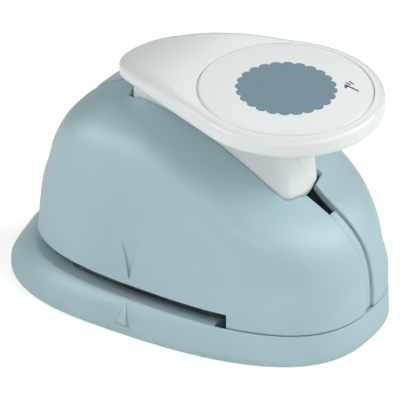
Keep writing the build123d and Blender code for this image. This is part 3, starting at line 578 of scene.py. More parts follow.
def drop_faces(mesh: BMesh, unwanted: Callable[[Vector], bool]) -> None:
    """Deletes the faces whose centres are unwanted."""
    faces = [face for face in mesh.faces if unwanted(face.calc_center_median())]
    bmesh.ops.delete(mesh, geom=faces, context="FACES")


def to_object(name: str, mesh: BMesh) -> Object:
    """Turns a mesh in millimetres into an object in metres.

    Args:
        name: The object's name.
        mesh: The mesh. It is used up.

    Returns:
        The object, linked to the scene.
    """
    bmesh.ops.scale(mesh, vec=(MM, MM, MM), verts=mesh.verts[:])
    data = bpy.data.meshes.new(name)
    mesh.to_mesh(data)
    mesh.free()
    thing = bpy.data.objects.new(name, data)
    bpy.context.scene.collection.objects.link(thing)
    return thing


def apply_modifiers(thing: Object) -> None:
    """Bakes an object's modifiers into its mesh.

    Args:
        thing: The object.
    """
    graph = bpy.context.evaluated_depsgraph_get()
    graph.update()
    baked = bpy.data.meshes.new_from_object(thing.evaluated_get(graph))
    thing.modifiers.clear()
    old = thing.data
    thing.data = baked
    bpy.data.meshes.remove(old)


def carve(thing: Object, cutter: BMesh, operation: str = "DIFFERENCE") -> None:
    """Cuts a closed mesh out of an object, or joins it on.

    Args:
        thing: The object, a closed mesh.
        cutter: The closed mesh in millimetres. It is used up.
        operation: The kind of boolean.
    """
    tool = to_object("cutter", cutter)
    modifier = thing.modifiers.new("carve", "BOOLEAN")
    modifier.operation = operation
    modifier.solver = "EXACT"
    modifier.object = tool
    apply_modifiers(thing)
    bpy.data.objects.remove(tool)


def thicken(thing: Object, wall: float) -> None:
    """Gives an open skin a wall that stands inwards from it.

    Args:
        thing: The object with the skin.
        wall: The wall's thickness.
    """
    modifier = thing.modifiers.new("wall", "SOLIDIFY")
    modifier.thickness = wall * MM
    modifier.offset = -1
    modifier.use_even_offset = True
    apply_modifiers(thing)


def finish_piece(
    thing: Object,
    finish: Finish,
    body: Body,
    stands_for: Sequence[str] = (),
) -> None:
    """Dresses a piece, smooths it and puts it on its body.

    Args:
        thing: The piece.
        finish: Its finish.
        body: The body that it rides on.
        stands_for: The nodes that it replaces.
    """
    data = thing.data
    data.polygons.foreach_set("use_smooth", [True] * len(data.polygons))
    data.set_sharp_from_angle(angle=math.radians(CREASE_DEG))
    data.materials.clear()
    data.materials.append(dressed(finish))
    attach(thing, body.value)
    if stands_for:
        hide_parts(*stands_for)
    LOG.info("%s: %d faces on %s", thing.name, len(data.polygons), body.value)


# ---------------------------------------------------------------- body shells


@dataclass
class BodyShells:
    """The two shells that make the domed body, parted just past the middle."""

    foot: float = 9.15
    crest: float = 55.0
    front: float = 42.85
    rear: float = 50.51
    half_width: float = 28.24
    wall: float = 1.9
    mouth_top: float = 12.88
    mouth_end_x: float = 24.7
    seam_y: float = 1.75
    parting: float = 0.25
    edge_round: float = 0.16
    strip_depth: float = 0.75
    strip_stop: float = 0.21
    step_width: float = 0.06
    slot_floor: float = 25.0
    columns: int = 240
    steps: int = 6
    edge_angle_deg: float = 55.0
    mark_x: float = -3.5
    mark_half_width: float = 2.3
    mark_top: float = 26.0
    mark_tip: float = 14.3
    mark_start: float = 0.46
    mark_depth: float = 1.0
    # Plan of the slot's front end from the middle to the far side, the same on both sides
    slot_front = (
        (-17.8, 2.4), (-17.2, 5.2), (-16.0, 8.6), (-15.2, 9.1), (-13.6, 9.1), (-12.6, 8.4),
    )
    # Plan of the slot's rear end, from the far side round the tail to the near side
    slot_rear = (
        (30.9, 8.4), (31.9, 3.75), (33.5, 3.1), (35.3, 2.6), (37.0, 2.25), (39.2, 1.75),
        (39.2, -1.75), (32.45, -1.75), (31.75, -4.0), (30.95, -7.1), (30.55, -7.8), (29.8, -8.3),
        (29.0, -8.4),
    )
    # Shares for each slice from the foot to the crest: height, front reach, rear reach,
    # half width, widest place, front power and rear power
    slice_shares = (
        (0.000, 1.000, 1.000, 1.000, 0.488, 3.06, 2.62),
        (0.128, 0.999, 0.997, 1.000, 0.488, 2.78, 2.62),
        (0.258, 0.996, 0.980, 0.993, 0.489, 2.63, 2.42),
        (0.389, 0.971, 0.931, 0.986, 0.495, 2.66, 2.61),
        (0.520, 0.921, 0.818, 0.976, 0.506, 2.75, 3.05),
        (0.629, 0.879, 0.634, 0.961, 0.515, 2.88, 3.85),
        (0.717, 0.828, 0.479, 0.937, 0.500, 3.11, 4.37),
        (0.782, 0.789, 0.370, 0.901, 0.478, 3.23, 4.24),
        (0.847, 0.740, 0.255, 0.848, 0.445, 3.25, 3.96),
        (0.902, 0.653, 0.139, 0.776, 0.425, 3.34, 3.76),
        (0.945, 0.563, 0.026, 0.684, 0.425, 3.40, 3.59),
        (0.978, 0.473, -0.087, 0.549, 0.440, 3.39, 3.40),
        (1.000, 0.375, -0.194, 0.336, 0.480, 3.15, 3.04),
    )

    def egg(self, row: Sequence[float]) -> Egg:
        """Turns one row of shares into an outline.

        Args:
            row: A row of slice_shares.

        Returns:
            The outline at that height.
        """
        _, front, rear, width, wide, front_power, rear_power = row
        tip = self.front * front
        tail = self.rear * rear
        widest = -tip + (tip + tail) * wide
        return Egg(tip, tail, self.half_width * width, widest, front_power, rear_power)

    def foot_egg(self) -> Egg:
        """Returns the outline of the body's foot."""
        return self.egg(self.slice_shares[0])

    def dome(self) -> BMesh:
        """Builds the dome's outer skin.

        Returns:
            A mesh that is open at the foot.
        """
        rings = []
        for row in smooth_rows(np.array(self.slice_shares), self.steps):
            height = self.foot + (self.crest - self.foot) * row[0]
            rings.append(at_height(self.egg(row).outline(self.columns), height))
        return skin(rings, (False, True))

    def slot_outline(self) -> list[tuple[float, float]]:
        """Returns the plan of the slot that the lever's skirt comes through."""
        return [*self.slot_front, *self.slot_rear, *((x, -y) for x, y in self.slot_front[::-1])]

    def in_slot(self, point: Vector) -> bool:
        """Says whether a point of the roof lies over the slot.

        Args:
            point: A point in millimetres.

        Returns:
            Whether it is above the slot's floor and inside its plan.
        """
        if point.z < self.slot_floor:
            return False
        outline = self.slot_outline()
        inside = False
        for (x0, y0), (x1, y1) in zip(outline, outline[1:] + outline[:1]):
            if (y0 > point.y) != (y1 > point.y):
                if point.x < x0 + (x1 - x0) * (point.y - y0) / (y1 - y0):
                    inside = not inside
        return inside

    def openings_cut(self) -> BMesh:
        """Cuts the mouth and the lever's slot out of the dome.

        Returns:
            The dome's skin with both openings.
        """
        mesh = self.dome()
        slice_mesh(mesh, (0, 0, self.mouth_top), (0, 0, 1))
        slice_mesh(mesh, (self.mouth_end_x, 0, 0), (1, 0, 0))
        outline = self.slot_outline()
        for (x0, y0), (x1, y1) in zip(outline, outline[1:] + outline[:1]):
            slice_mesh(mesh, (x0, y0, 0), (y1 - y0, x0 - x1, 0), ((x0, y0), (x1, y1)))
        drop_faces(mesh, lambda c: c.x < self.mouth_end_x and c.z < self.mouth_top)
        drop_faces(mesh, self.in_slot)
        return mesh

    def near_shell(self) -> Object:
        """Builds the near shell with its recessed seam strips and alignment mark.

        Returns:
            The shell, with its edges still sharp.
        """
        places = [x for x, _ in self.slot_outline()]
        front, tail = min(places) - self.strip_stop, max(places) - TOUCH
        mesh = self.openings_cut()
        slice_mesh(mesh, (0, self.seam_y, 0), (0, 1, 0))
        drop_faces(mesh, lambda c: c.y > self.seam_y)
        slice_mesh(mesh, (0, -self.seam_y, 0), (0, 1, 0))
        slice_mesh(mesh, (0, self.step_width - self.seam_y, 0), (0, 1, 0))
        mesh.normal_update()
        for vert in mesh.verts:
            at_slot = front < vert.co.x < tail and vert.co.z > self.slot_floor
            if vert.co.y > self.step_width / 2 - self.seam_y and not at_slot:
                inward = Vector((-vert.normal.x, 0, -vert.normal.z)).normalized()
                vert.co += inward * self.strip_depth
        shell = to_object("body_shell_near", mesh)
        thicken(shell, self.wall)
        carve(shell, self.mark_wedge())
        return shell

    def mark_wedge(self) -> BMesh:
        """Shapes the wedge that sinks the alignment mark.

        Returns:
            A closed mesh, deepest at the mark's tip.
        """
        surface = -self.half_width
        corners = (
            (self.mark_x - self.mark_half_width, self.mark_top, self.mark_start),
            (self.mark_x + self.mark_half_width, self.mark_top, self.mark_start),
            (self.mark_x, self.mark_tip, self.mark_depth),
        )
        outer = [(x, surface - self.wall, z) for x, z, _ in corners]
        inner = [(x, surface + depth, z) for x, z, depth in corners]
        return skin((outer, inner), (True, True))

    def far_shell(self) -> Object:
        """Builds the far shell.

        Returns:
            The shell, with its edges still sharp.
        """
        mesh = self.openings_cut()
        edge = self.seam_y + self.parting
        slice_mesh(mesh, (0, edge, 0), (0, 1, 0))
        drop_faces(mesh, lambda c: c.y < edge)
        shell = to_object("body_shell_far", mesh)
        thicken(shell, self.wall)
        return shell

    def soften(self, thing: Object) -> None:
        """Rounds the moulded edges of the openings.

        Args:
            thing: The shell.
        """
        modifier = thing.modifiers.new("edges", "BEVEL")
        modifier.limit_method = "ANGLE"
        modifier.angle_limit = math.radians(self.edge_angle_deg)
        modifier.width = self.edge_round * MM
        modifier.segments = 2
        apply_modifiers(thing)

    def build(self) -> None:
        """Builds and dresses both shells."""
        for make, node in ((self.near_shell, "housing_near"), (self.far_shell, "housing_far")):
            shell = make()
            self.soften(shell)
            finish_piece(shell, BODY_ABS, Body.ROOT, (node,))


# ---------------------------------------------------------------- base


@dataclass
class Base:
    """The flared base moulding with the paper floor, its lip and the die pocket."""

    foot_egg: Egg
    length: float = 101.54
    half_width: float = 31.95
    wide_x: float = -11.7
    front_power: float = 2.46
    rear_power: float = 2.59
    rim_bottom: float = 0.2
    rim_top: float = 2.0
    top: float = 8.74
    lip_top: float = 8.72
    lip_width: float = 0.12
    lip_fall: float = 3.2
    lip_run: float = 9.0
    gap_slant: float = 0.21
    tip_swell: float = 1.3
    tip_swell_width: float = 5.0
    lip_end_x: float = 21.5
    mouth_end_x: float = 24.7
    gap_corner_y: float = 27.5
    gap_half_width: float = 18.0
    gap_bottom: float = 4.2
    cover_rebate: float = 1.05
    pocket_low_x: float = -27.15
    pocket_high_x: float = 20.65
    pocket_half_width: float = 22.15
    pocket_corner: float = 5.15
    pocket_bottom: float = 6.1
    die_x: float = -3.5
    chute_radius: float = 14.2
    far_away: float = 120.0
    columns: int = 240
    apron_steps: int = 7
    dish_rings: int = 11
    mark_rings: int = 9
    mark_high: float = 0.9
    mark_low: float = 0.2
    mark_tip_half_width: float = 0.05
    mark_half_width: float = 1.8
    mark_tip_proud: float = 0.12
    mark_proud: float = 0.85
    mark_near_share: float = 0.6
    mark_root: float = 1.0
    # Inset and rise of the rounded edge under the rim
    rim_edge = ((0.35, 0.0), (0.1, 0.12), (0.0, 0.4))
    # Height and blend shares of the apron, from the rim to the lip
    apron_shares = ((0.0, 0.0), (0.3, 0.16), (0.62, 0.42), (0.84, 0.68), (0.95, 0.87), (1.0, 1.0))

    def egg(self) -> Egg:
        """Returns the outline of the rim."""
        half, powers = self.length / 2, (self.front_power, self.rear_power)
        return Egg(half, half, self.half_width, self.wide_x, *powers)

    def block(self) -> BMesh:
        """Shapes the solid flared block, with the rebate for the bottom cover.

        Returns:
            A closed mesh.
        """
        rim = self.egg()
        rebate = rim.shrunk(self.cover_rebate).outline(self.columns)
        rings = [at_height(rebate, self.rim_top), at_height(rebate, self.rim_bottom)]
        for inset, rise in self.rim_edge:
            ring = rim.shrunk(inset).outline(self.columns)
            rings.append(at_height(ring, self.rim_bottom + rise))
        for height, blend in smooth_rows(np.array(self.apron_shares), self.apron_steps):
            outline = rim.blended(self.foot_egg, blend).outline(self.columns)
            swell = self.tip_swell * math.sin(math.pi * height) * (outline[:, 0] < self.wide_x)
            outline[:, 0] -= swell * np.exp(-((outline[:, 1] / self.tip_swell_width) ** 2))
            rings.append(at_height(outline, self.rim_top + (self.top - self.rim_top) * height))
        return skin(rings, (True, True))

    def apron_y(self, share: float) -> tuple[float, float]:
        """Finds the near apron's surface at the alignment mark.

        Args:
            share: The height, as a share of the apron's.

        Returns:
            The surface's Y there, and the height in millimetres.
        """
        heights, blends = np.array(self.apron_shares).T
        outline = self.egg().blended(self.foot_egg, float(np.interp(share, heights, blends)))
        points = outline.outline(self.columns)
        points = points[points[:, 1] < 0]
        points = points[np.argsort(points[:, 0])]
        y = float(np.interp(self.die_x, points[:, 0], points[:, 1]))
        return y, self.rim_top + (self.top - self.rim_top) * share

    def mark_wedge(self) -> BMesh:
        """Shapes the raised wedge of the alignment mark.

        Returns:
            A closed mesh, thickest at its foot.
        """
        rings = []
        for share in np.linspace(0, 1, self.mark_rings):
            y, z = self.apron_y(self.mark_high + (self.mark_low - self.mark_high) * share)
            half = self.mark_tip_half_width + self.mark_half_width * share
            proud = self.mark_tip_proud + self.mark_proud * share
            left, right = self.die_x - half, self.die_x + half
            root = y + self.mark_root
            low, high = y - proud * self.mark_near_share, y - proud
            rings.append([(left, root, z), (right, root, z), (right, high, z), (left, low, z)])
        return skin(rings, (True, True))

    def build(self) -> None:
        """Builds the moulding and cuts its mouth, pocket and chute."""
        thing = to_object("base_moulding", self.block())
        far = self.far_away
        lip = self.foot_egg.shrunk(self.lip_width).outline(self.columns)
        carve(thing, box_mesh((-far, -far, self.lip_top), (self.mouth_end_x, far, far)))
        ends = [((-far, 0, 0), (-1, 0, 0)), ((self.lip_end_x, 0, 0), (1, 0, 0))]
        carve(thing, clip_mesh(self.dish(), ends))
        for side in (1, -1):
            planes = [
                ((self.mouth_end_x, 0, 0), (1, 0, 0)),
                ((self.lip_end_x, side * self.gap_corner_y, 0), (-1, side * self.gap_slant, 0)),
                ((0, side * self.gap_half_width, 0), (0, -side, 0)),
            ]
            carve(thing, clip_mesh(prism(lip, self.gap_bottom, far), planes))
        pocket = rounded_rectangle(
            self.pocket_low_x, self.pocket_high_x, self.pocket_half_width, self.pocket_corner
        )
        carve(thing, prism(pocket, self.pocket_bottom, far))
        carve(thing, prism(circle(self.die_x, self.chute_radius), -far, far))
        carve(thing, self.mark_wedge(), "UNION")
        finish_piece(thing, BODY_ABS, Body.ROOT, ("base",))

    def dish(self) -> BMesh:
        """Shapes the space over the mouth floor, which rolls down inwards from the lip.

        Returns:
            A closed mesh.
        """
        rings = []
        for share in np.linspace(1, 0, self.dish_rings):
            plan = self.foot_egg.shrunk(self.lip_width + self.lip_run * share)
            fall = self.lip_fall * (1 - math.cos(math.pi / 2 * share))
            rings.append(at_height(plan.outline(self.columns), self.lip_top - fall))
        rings.append(at_height(rings[-1][:, :2], self.far_away))
        return skin(rings, (True, True))


# ---------------------------------------------------------------- lever


@dataclass
class Lever:
    """The white lever: an egg-shaped plate on a boxed skirt, with a disc let into its pad."""

    front: float = 22.8
    pad_radius: float = 24.95
    pad_x: float = 25.0
    flank_turn_deg: float = 18.9
    flank_reach: float = 16.5
    tip_reach: float = 12.15
    pad_top: float = 65.4
    pad_tilt_deg: float = 1.6
    rim_depth: float = 5.1
    tip_top: float = 60.9
    tip_slope: float = 0.54
    tip_low_slope: float = 0.52
    tip_depth: float = 3.9
    flat_start_x: float = 4.3
    plate_wall: float = 2.4
    rim_wall: float = 2.2
    top_fall: float = 1.5
    top_run_rate: float = 2.3 / 1.5
    top_share: float = 0.62
    flank_fall: float = 0.9
    flank_start: float = 10.0
    flank_run: float = 18.0
    tip_fall: float = 0.6
    tip_fall_rate: float = 0.2
    low_round: float = 1.3
    low_share: float = 0.3
    hollow_front_x: float = -8.0
    disc_radius: float = 22.05
    disc_gap: float = 0.08
    disc_proud: float = 0.22
    disc_edge: float = 0.6
    disc_thickness: float = 1.2
    # How far the recess's edge opens, and its depth there
    recess_edge = ((0.0, 0.3), (0.06, 0.1), (0.2, 0.0))
    skirt_half_width: float = 8.0
    skirt_wall: float = 2.0
    skirt_front_x: float = -15.0
    nose_bulge: float = 1.55
    nose_corner: float = 3.2
    inner_corner_share: float = 0.6
    nose_bottom: float = 33.2
    # Heights of the skirt's rings, and places of the points along its sides
    skirt_heights = (
        58.0, 54.0, 50.0, 47.0, 44.0, 42.0, 40.0, 39.0, 38.0, 37.0, 36.0, 35.2, 34.6, 34.0, 33.5,
    )
    skirt_places = (-12.0, 0.0, 12.0, 22.0)
    # Place and height of the skirt's lower edge
    edge_line = ((-15.0, 48.5), (-12.0, 41.0), (27.5, 33.2))
    notch_tip: tuple[float, float, float] = (31.38, -0.5, 42.2)
    notch_reach: float = 6.0
    notch_top: float = 50.5
    notch_left: float = -0.46
    notch_right: float = 0.85
    notch_turn: float = 0.4
    notch_lean: float = -0.286
    nose_stiffening: float = 1.2
    nose_stiff_from: float = 40.0
    nose_stiff_run: float = 4.0
    rib_places: tuple[float, ...] = (10.0, 21.0)
    rib_thickness: float = 1.8
    bite: float = 0.3
    rib_root: float = 0.2
    rib_lift: float = 0.4
    columns: int = 288
    disc_columns: int = 192
    disc_edge_rings: int = 6
    pad_rings: int = 13
    top_rings: int = 9
    low_rings: int = 7
    roof_rings: int = 7
    nose_points: int = 7
    # Height and place of the nose's corners, which lean out and then tuck under
    nose_line = (
        (62.0, 29.2), (50.0, 29.3), (44.0, 29.6), (41.0, 30.0), (39.0, 30.35), (37.6, 30.3),
        (36.4, 29.7), (35.2, 28.9), (34.2, 28.0), (33.2, 27.1),
    )

    def side_line(self, x: np.ndarray, tip: float, slope: float, drop: float) -> np.ndarray:
        """Returns the height of a side line of the lever.

        Args:
            x: Places along the lever.
            tip: The line's height at the tip.
            slope: Its slope at the tip.
            drop: How far it lies below the pad.

        Returns:
            A cubic from the tip to the flat, then the pad's straight line.
        """
        pad = math.tan(math.radians(self.pad_tilt_deg))
        before = 2.0  # The cubic starts this far in front of the tip
        start_x = -self.front - before
        start = tip - before * slope
        end = self.pad_top - drop + pad * (self.pad_x - self.flat_start_x)
        run = self.flat_start_x - start_x
        t = np.clip((x - start_x) / run, 0, 1)
        cubic = (
            (2 * t**3 - 3 * t**2 + 1) * start
            + (t**3 - 2 * t**2 + t) * run * slope
            + (3 * t**2 - 2 * t**3) * end
            + (t**3 - t**2) * run * -pad
        )
        return np.where(x < self.flat_start_x, cubic, end - pad * (x - self.flat_start_x))

    def top(self, x: np.ndarray, drop: float = 0.0) -> np.ndarray:
        """Returns the height of the top, or of a surface parallel to it."""
        return self.side_line(x, self.tip_top - drop, self.tip_slope, drop)

    def under(self, x: np.ndarray) -> np.ndarray:
        """Returns the height of the plate's lower edge."""
        tip = self.tip_top - self.tip_depth
        return self.side_line(x, tip, self.tip_low_slope, self.rim_depth)

    def outline(self) -> np.ndarray:
        """Draws the plate's plan: a circle round the pad, flanks and a blunt tip.

        Returns:
            An array of X and Y that starts at the front tip and runs by +Y.
        """
        turn = math.radians(self.flank_turn_deg)
        count = 900
        sweep = np.linspace(0, math.pi / 2 + turn, count)
        arc = np.column_stack([np.cos(sweep), np.sin(sweep)]) * self.pad_radius
        arc[:, 0] += self.pad_x
        tip = np.array([-self.front, 0.0])
        leave = arc[-1] - self.flank_reach * np.array([math.cos(turn), math.sin(turn)])
        arrive = tip + np.array([0.0, self.tip_reach])
        t = np.linspace(0, 1, count)[1:, None]
        flank = (
            (1 - t) ** 3 * arc[-1]
            + 3 * (1 - t) ** 2 * t * leave
            + 3 * (1 - t) * t**2 * arrive
            + t**3 * tip
        )
        return even_loop(np.vstack([arc, flank])[::-1], self.columns)

    def inset(self, outline: np.ndarray, amount: np.ndarray | float) -> np.ndarray:
        """Draws an outline in along its normals.

        Args:
            outline: Points that start at the front tip and run by +Y.
            amount: The inset, one for all points or one for each.

        Returns:
            The points drawn in.
        """
        along = np.roll(outline, -1, 0) - np.roll(outline, 1, 0)
        along /= np.linalg.norm(along, axis=1)[:, None]
        inward = np.column_stack([along[:, 1], -along[:, 0]])
        return outline + inward * np.broadcast_to(amount, len(outline))[:, None]

    def plate(self) -> Object:
        """Builds the plate with its rounded rim, recess and hollow underside.

        Returns:
            The plate.
        """
        outline = self.outline()
        depth = self.top(outline[:, 0]) - self.under(outline[:, 0])
        # The upper edge rounds widest along the flanks, and tightens at the tip
        from_tip = outline[:, 0] + self.front
        flank = 1.0 - np.clip((from_tip - self.flank_start) / self.flank_run, 0, 1) ** 2
        top_fall = self.top_fall + self.flank_fall * flank
        for limit in (self.top_share * depth, self.tip_fall + self.tip_fall_rate * from_tip):
            top_fall = np.minimum(top_fall, limit)
        top_run = top_fall * self.top_run_rate
        low_round = np.minimum(self.low_round, self.low_share * depth)
        rings = []
        # Recess floor and wall, on circles that follow the outline's points by angle
        centre = np.array([self.pad_x, 0.0])
        inner = self.inset(outline, top_run)
        angle = np.arctan2(inner[:, 1], inner[:, 0] - self.pad_x)
        ray = np.column_stack([np.cos(angle), np.sin(angle)])
        recess = self.disc_radius + self.disc_gap
        for opening, drop in ((0.0, self.disc_thickness), *self.recess_edge):
            edge = centre + ray * (recess + opening)
            rings.append(at_height(edge, self.top(edge[:, 0], drop)))
        for share in np.linspace(0, 1, self.pad_rings)[1:]:
            ring = edge + (inner - edge) * share
            rings.append(at_height(ring, self.top(ring[:, 0])))
        for fall, run in quarter(self.top_rings)[1:]:
            ring = self.inset(outline, top_run * run)
            rings.append(at_height(ring, self.top(ring[:, 0]) - top_fall * fall))
        for run, rise in quarter(self.low_rings):
            ring = self.inset(outline, low_round * run)
            rings.append(at_height(ring, self.under(outline[:, 0]) + low_round * rise))
        hollow = self.inset(outline, self.rim_wall)
        hollow[:, 0] = np.maximum(hollow[:, 0], self.hollow_front_x)
        rings.append(at_height(hollow, self.under(hollow[:, 0])))
        rings.append(at_height(hollow, self.top(hollow[:, 0], self.plate_wall)))
        for share in np.linspace(0, 1, self.roof_rings)[1:]:
            ring = hollow * (1, 1 - share)
            rings.append(at_height(ring, self.top(ring[:, 0], self.plate_wall)))
        mesh = skin(rings, (True, False))
        bmesh.ops.remove_doubles(mesh, verts=mesh.verts[:], dist=MERGE)
        bmesh.ops.dissolve_degenerate(mesh, dist=MERGE / 10, edges=mesh.edges[:])
        bmesh.ops.recalc_face_normals(mesh, faces=mesh.faces[:])
        return to_object("lever_plate", mesh)

    def skirt_outline(self, height: float, inset: float) -> list[tuple[float, float]]:
        """Draws the skirt's plan round the nose from side to side.

        Args:
            height: The height of the plan.
            inset: How far the plan lies inside the skirt's face.

        Returns:
            Its points, from +Y round the nose to -Y.
        """
        heights, places = np.array(self.nose_line)[::-1].T
        half = self.skirt_half_width - inset
        front = float(np.interp(height, heights, places)) + self.nose_bulge - inset
        if inset:
            stiff = (height - self.nose_stiff_from) / self.nose_stiff_run
            front -= self.nose_stiffening * min(max(stiff, 0), 1)
        corner = self.nose_corner - inset * self.inner_corner_share
        bulge = self.nose_bulge * (1 - corner / half)
        side = [(self.skirt_front_x + inset, half)]
        side.extend((x, half) for x in self.skirt_places)
        for fall, run in quarter(CORNER_POINTS):
            side.append((front - bulge - corner * run, half - corner * fall))
        for share in np.linspace(1, 0, self.nose_points)[1:]:
            y = (half - corner) * share
            side.append((front - bulge * share**2, y))
        return side + [(x, -y) for x, y in reversed(side[:-1])]

    def low_edge(self, x: np.ndarray) -> np.ndarray:
        """Returns the height of the skirt's lower edge."""
        return np.interp(x, *np.array(self.edge_line).T)

    def notch(self) -> BMesh:
        """Shapes the wedge that sinks the V in the nose.

        Returns:
            A closed mesh, deeper and wider upwards.
        """
        x0, y0, z0 = self.notch_tip
        rise = self.notch_top - z0
        inner = [self.notch_tip]
        for rate in (self.notch_left, self.notch_right):
            y = rate * rise
            x = x0 + self.notch_turn * y + self.notch_lean * rise
            inner.append((x, y0 + y, self.notch_top))
        outer = [(x0 + self.notch_reach, y, z) for _, y, z in inner]
        return skin((inner, outer), (True, True))

    def skirt(self) -> Object:
        """Builds the boxed skirt, with the V sunk in its nose.

        Returns:
            The skirt, open below.
        """
        squeeze = 0.02  # Rings that meet the lower edge keep this share of their spacing
        sides = []
        for inset in (0.0, self.skirt_wall):
            rings = []
            for height in (self.pad_top - self.plate_wall, *self.skirt_heights, self.nose_bottom):
                plan = np.array(self.skirt_outline(height, inset))
                roof = self.top(plan[:, 0], self.plate_wall - self.bite)
                low = self.low_edge(plan[:, 0]) + squeeze * (height - self.nose_bottom)
                rings.append(at_height(plan, np.clip(height, low, roof)))
            sides.append(rings)
        rings = sides[0] + sides[1][::-1]
        mesh = skin(rings + rings[:1], (False, False))
        bmesh.ops.remove_doubles(mesh, verts=mesh.verts[:], dist=MERGE)
        bmesh.ops.recalc_face_normals(mesh, faces=mesh.faces[:])
        thing = to_object("lever_skirt", mesh)
        carve(thing, self.notch())
        return thing

    def disc(self) -> Object:
        """Builds the disc in the pad, with a softened edge.

        Returns:
            The disc.
        """
        rings = []
        edge = self.disc_edge
        profile = [(self.disc_radius, self.disc_thickness)]
        for run, rise in quarter(self.disc_edge_rings):
            profile.append((self.disc_radius - edge * run, edge * rise - self.disc_proud))
        for radius, drop in profile:
            ring = circle(self.pad_x, radius, self.disc_columns)
            rings.append(at_height(ring, self.top(ring[:, 0], drop)))
        return to_object("pad_disc_moulding", skin(rings, (True, True)))

    def rib(self, x: float) -> Object:
        """Builds one stiffening rib across the hollow of the pad.

        Args:
            x: Its place along the lever.

        Returns:
            The rib.
        """
        side = self.outline()[: self.columns // 2 + 1]
        reach = float(np.interp(x, side[:, 0], side[:, 1])) - self.rim_wall + self.rib_root
        half = self.rib_thickness / 2
        ceiling = float(self.top(np.array([x]), self.plate_wall)[0]) + self.bite
        floor = float(self.under(np.array([x]))[0]) + self.rib_lift
        mesh = box_mesh((x - half, -reach, floor), (x + half, reach, ceiling))
        return to_object(f"lever_rib_{int(x)}", mesh)

    def build(self) -> None:
        """Builds and dresses the lever's pieces."""
        made = [(self.plate(), ("lever",)), (self.skirt(), ("lever",))]
        made.append((self.disc(), ("pad_disc",)))
        made.extend((self.rib(x), ()) for x in self.rib_places)
        for thing, nodes in made:
            finish_piece(thing, LEVER_ABS, Body.LEVER_ARM, nodes)


# ---------------------------------------------------------------- print


@dataclass
class PadPrints:
    """The printed circle that shows the punched shape, and the plain size mark."""

    lever: Lever
    lobes: int = 24
    lobe_points: int = 10
    tip: float = 12.8
    valley: float = 11.85
    film: float = 0.03
    film_lift: float = 0.01
    print_x: float = 25.2
    # The size mark: ends of the numeral's stroke, its flag, and the ends of its two ticks
    one = ((36.25, 9.95), (40.75, 9.2))
    one_width: float = 0.5
    flag = ((36.2, 9.7), (37.05, 8.5), (37.55, 8.75), (37.3, 9.75))
    tick_a = ((35.8, 10.95), (37.5, 10.55))
    tick_b = ((36.2, 11.85), (37.9, 11.35))
    tick_width: float = 0.42

    def lobe_outline(self) -> np.ndarray:
        """Draws the scalloped outline, an arc for each lobe.

        Returns:
            An array of X and Y on the disc.
        """
        pitch = math.tau / self.lobes
        valley_x = self.valley * math.cos(pitch / 2)
        valley_y = self.valley * math.sin(pitch / 2)
        rise = self.tip - valley_x
        radius = (rise**2 + valley_y**2) / (2 * rise)
        centre = self.tip - radius
        span = math.atan2(valley_y, valley_x - centre)
        # Points as complex numbers, so that a lobe turns by a product
        across = span * np.linspace(-1, 1, self.lobe_points, endpoint=False)
        lobe = centre + radius * np.exp(1j * across)
        points = np.outer(np.exp(1j * pitch * np.arange(self.lobes)), lobe).ravel()
        return np.column_stack([self.print_x + points.real, points.imag])

    def film_piece(self, name: str, outline: Sequence[Sequence[float]]) -> Object:
        """Builds a thin film of ink on the disc.

        Args:
            name: The piece's name.
            outline: The film's plan.

        Returns:
            The film.
        """
        plan = np.array(outline)
        rings = [
            at_height(plan, self.lever.top(plan[:, 0], drop - self.lever.disc_proud))
            for drop in (self.film_lift, -self.film)
        ]
        return to_object(name, skin(rings, (True, True)))

    def stroke(
        self, start: tuple[float, float], end: tuple[float, float], width: float
    ) -> list[tuple[float, float]]:
        """Draws a straight stroke between two points.

        Args:
            start: Where it starts.
            end: Where it ends.
            width: How wide it is.

        Returns:
            Its four corners.
        """
        (x0, y0), (x1, y1) = start, end
        half = width / 2 / math.hypot(x1 - x0, y1 - y0)
        x, y = (y0 - y1) * half, (x1 - x0) * half
        return [(x0 - x, y0 - y), (x1 - x, y1 - y), (x1 + x, y1 + y), (x0 + x, y0 + y)]

    def build(self) -> None:
        """Builds and dresses the prints."""
        prints = (
            ("printed_scallop", self.lobe_outline(), PRINT_INK),
            ("printed_one", self.stroke(*self.one, self.one_width), MARK_INK),
            ("printed_one_flag", self.flag, MARK_INK),
            ("printed_tick_a", self.stroke(*self.tick_a, self.tick_width), MARK_INK),
            ("printed_tick_b", self.stroke(*self.tick_b, self.tick_width), MARK_INK),
        )
        for name, outline, ink in prints:
            finish_piece(self.film_piece(name, outline), ink, Body.LEVER_ARM)


# ---------------------------------------------------------------- steel work


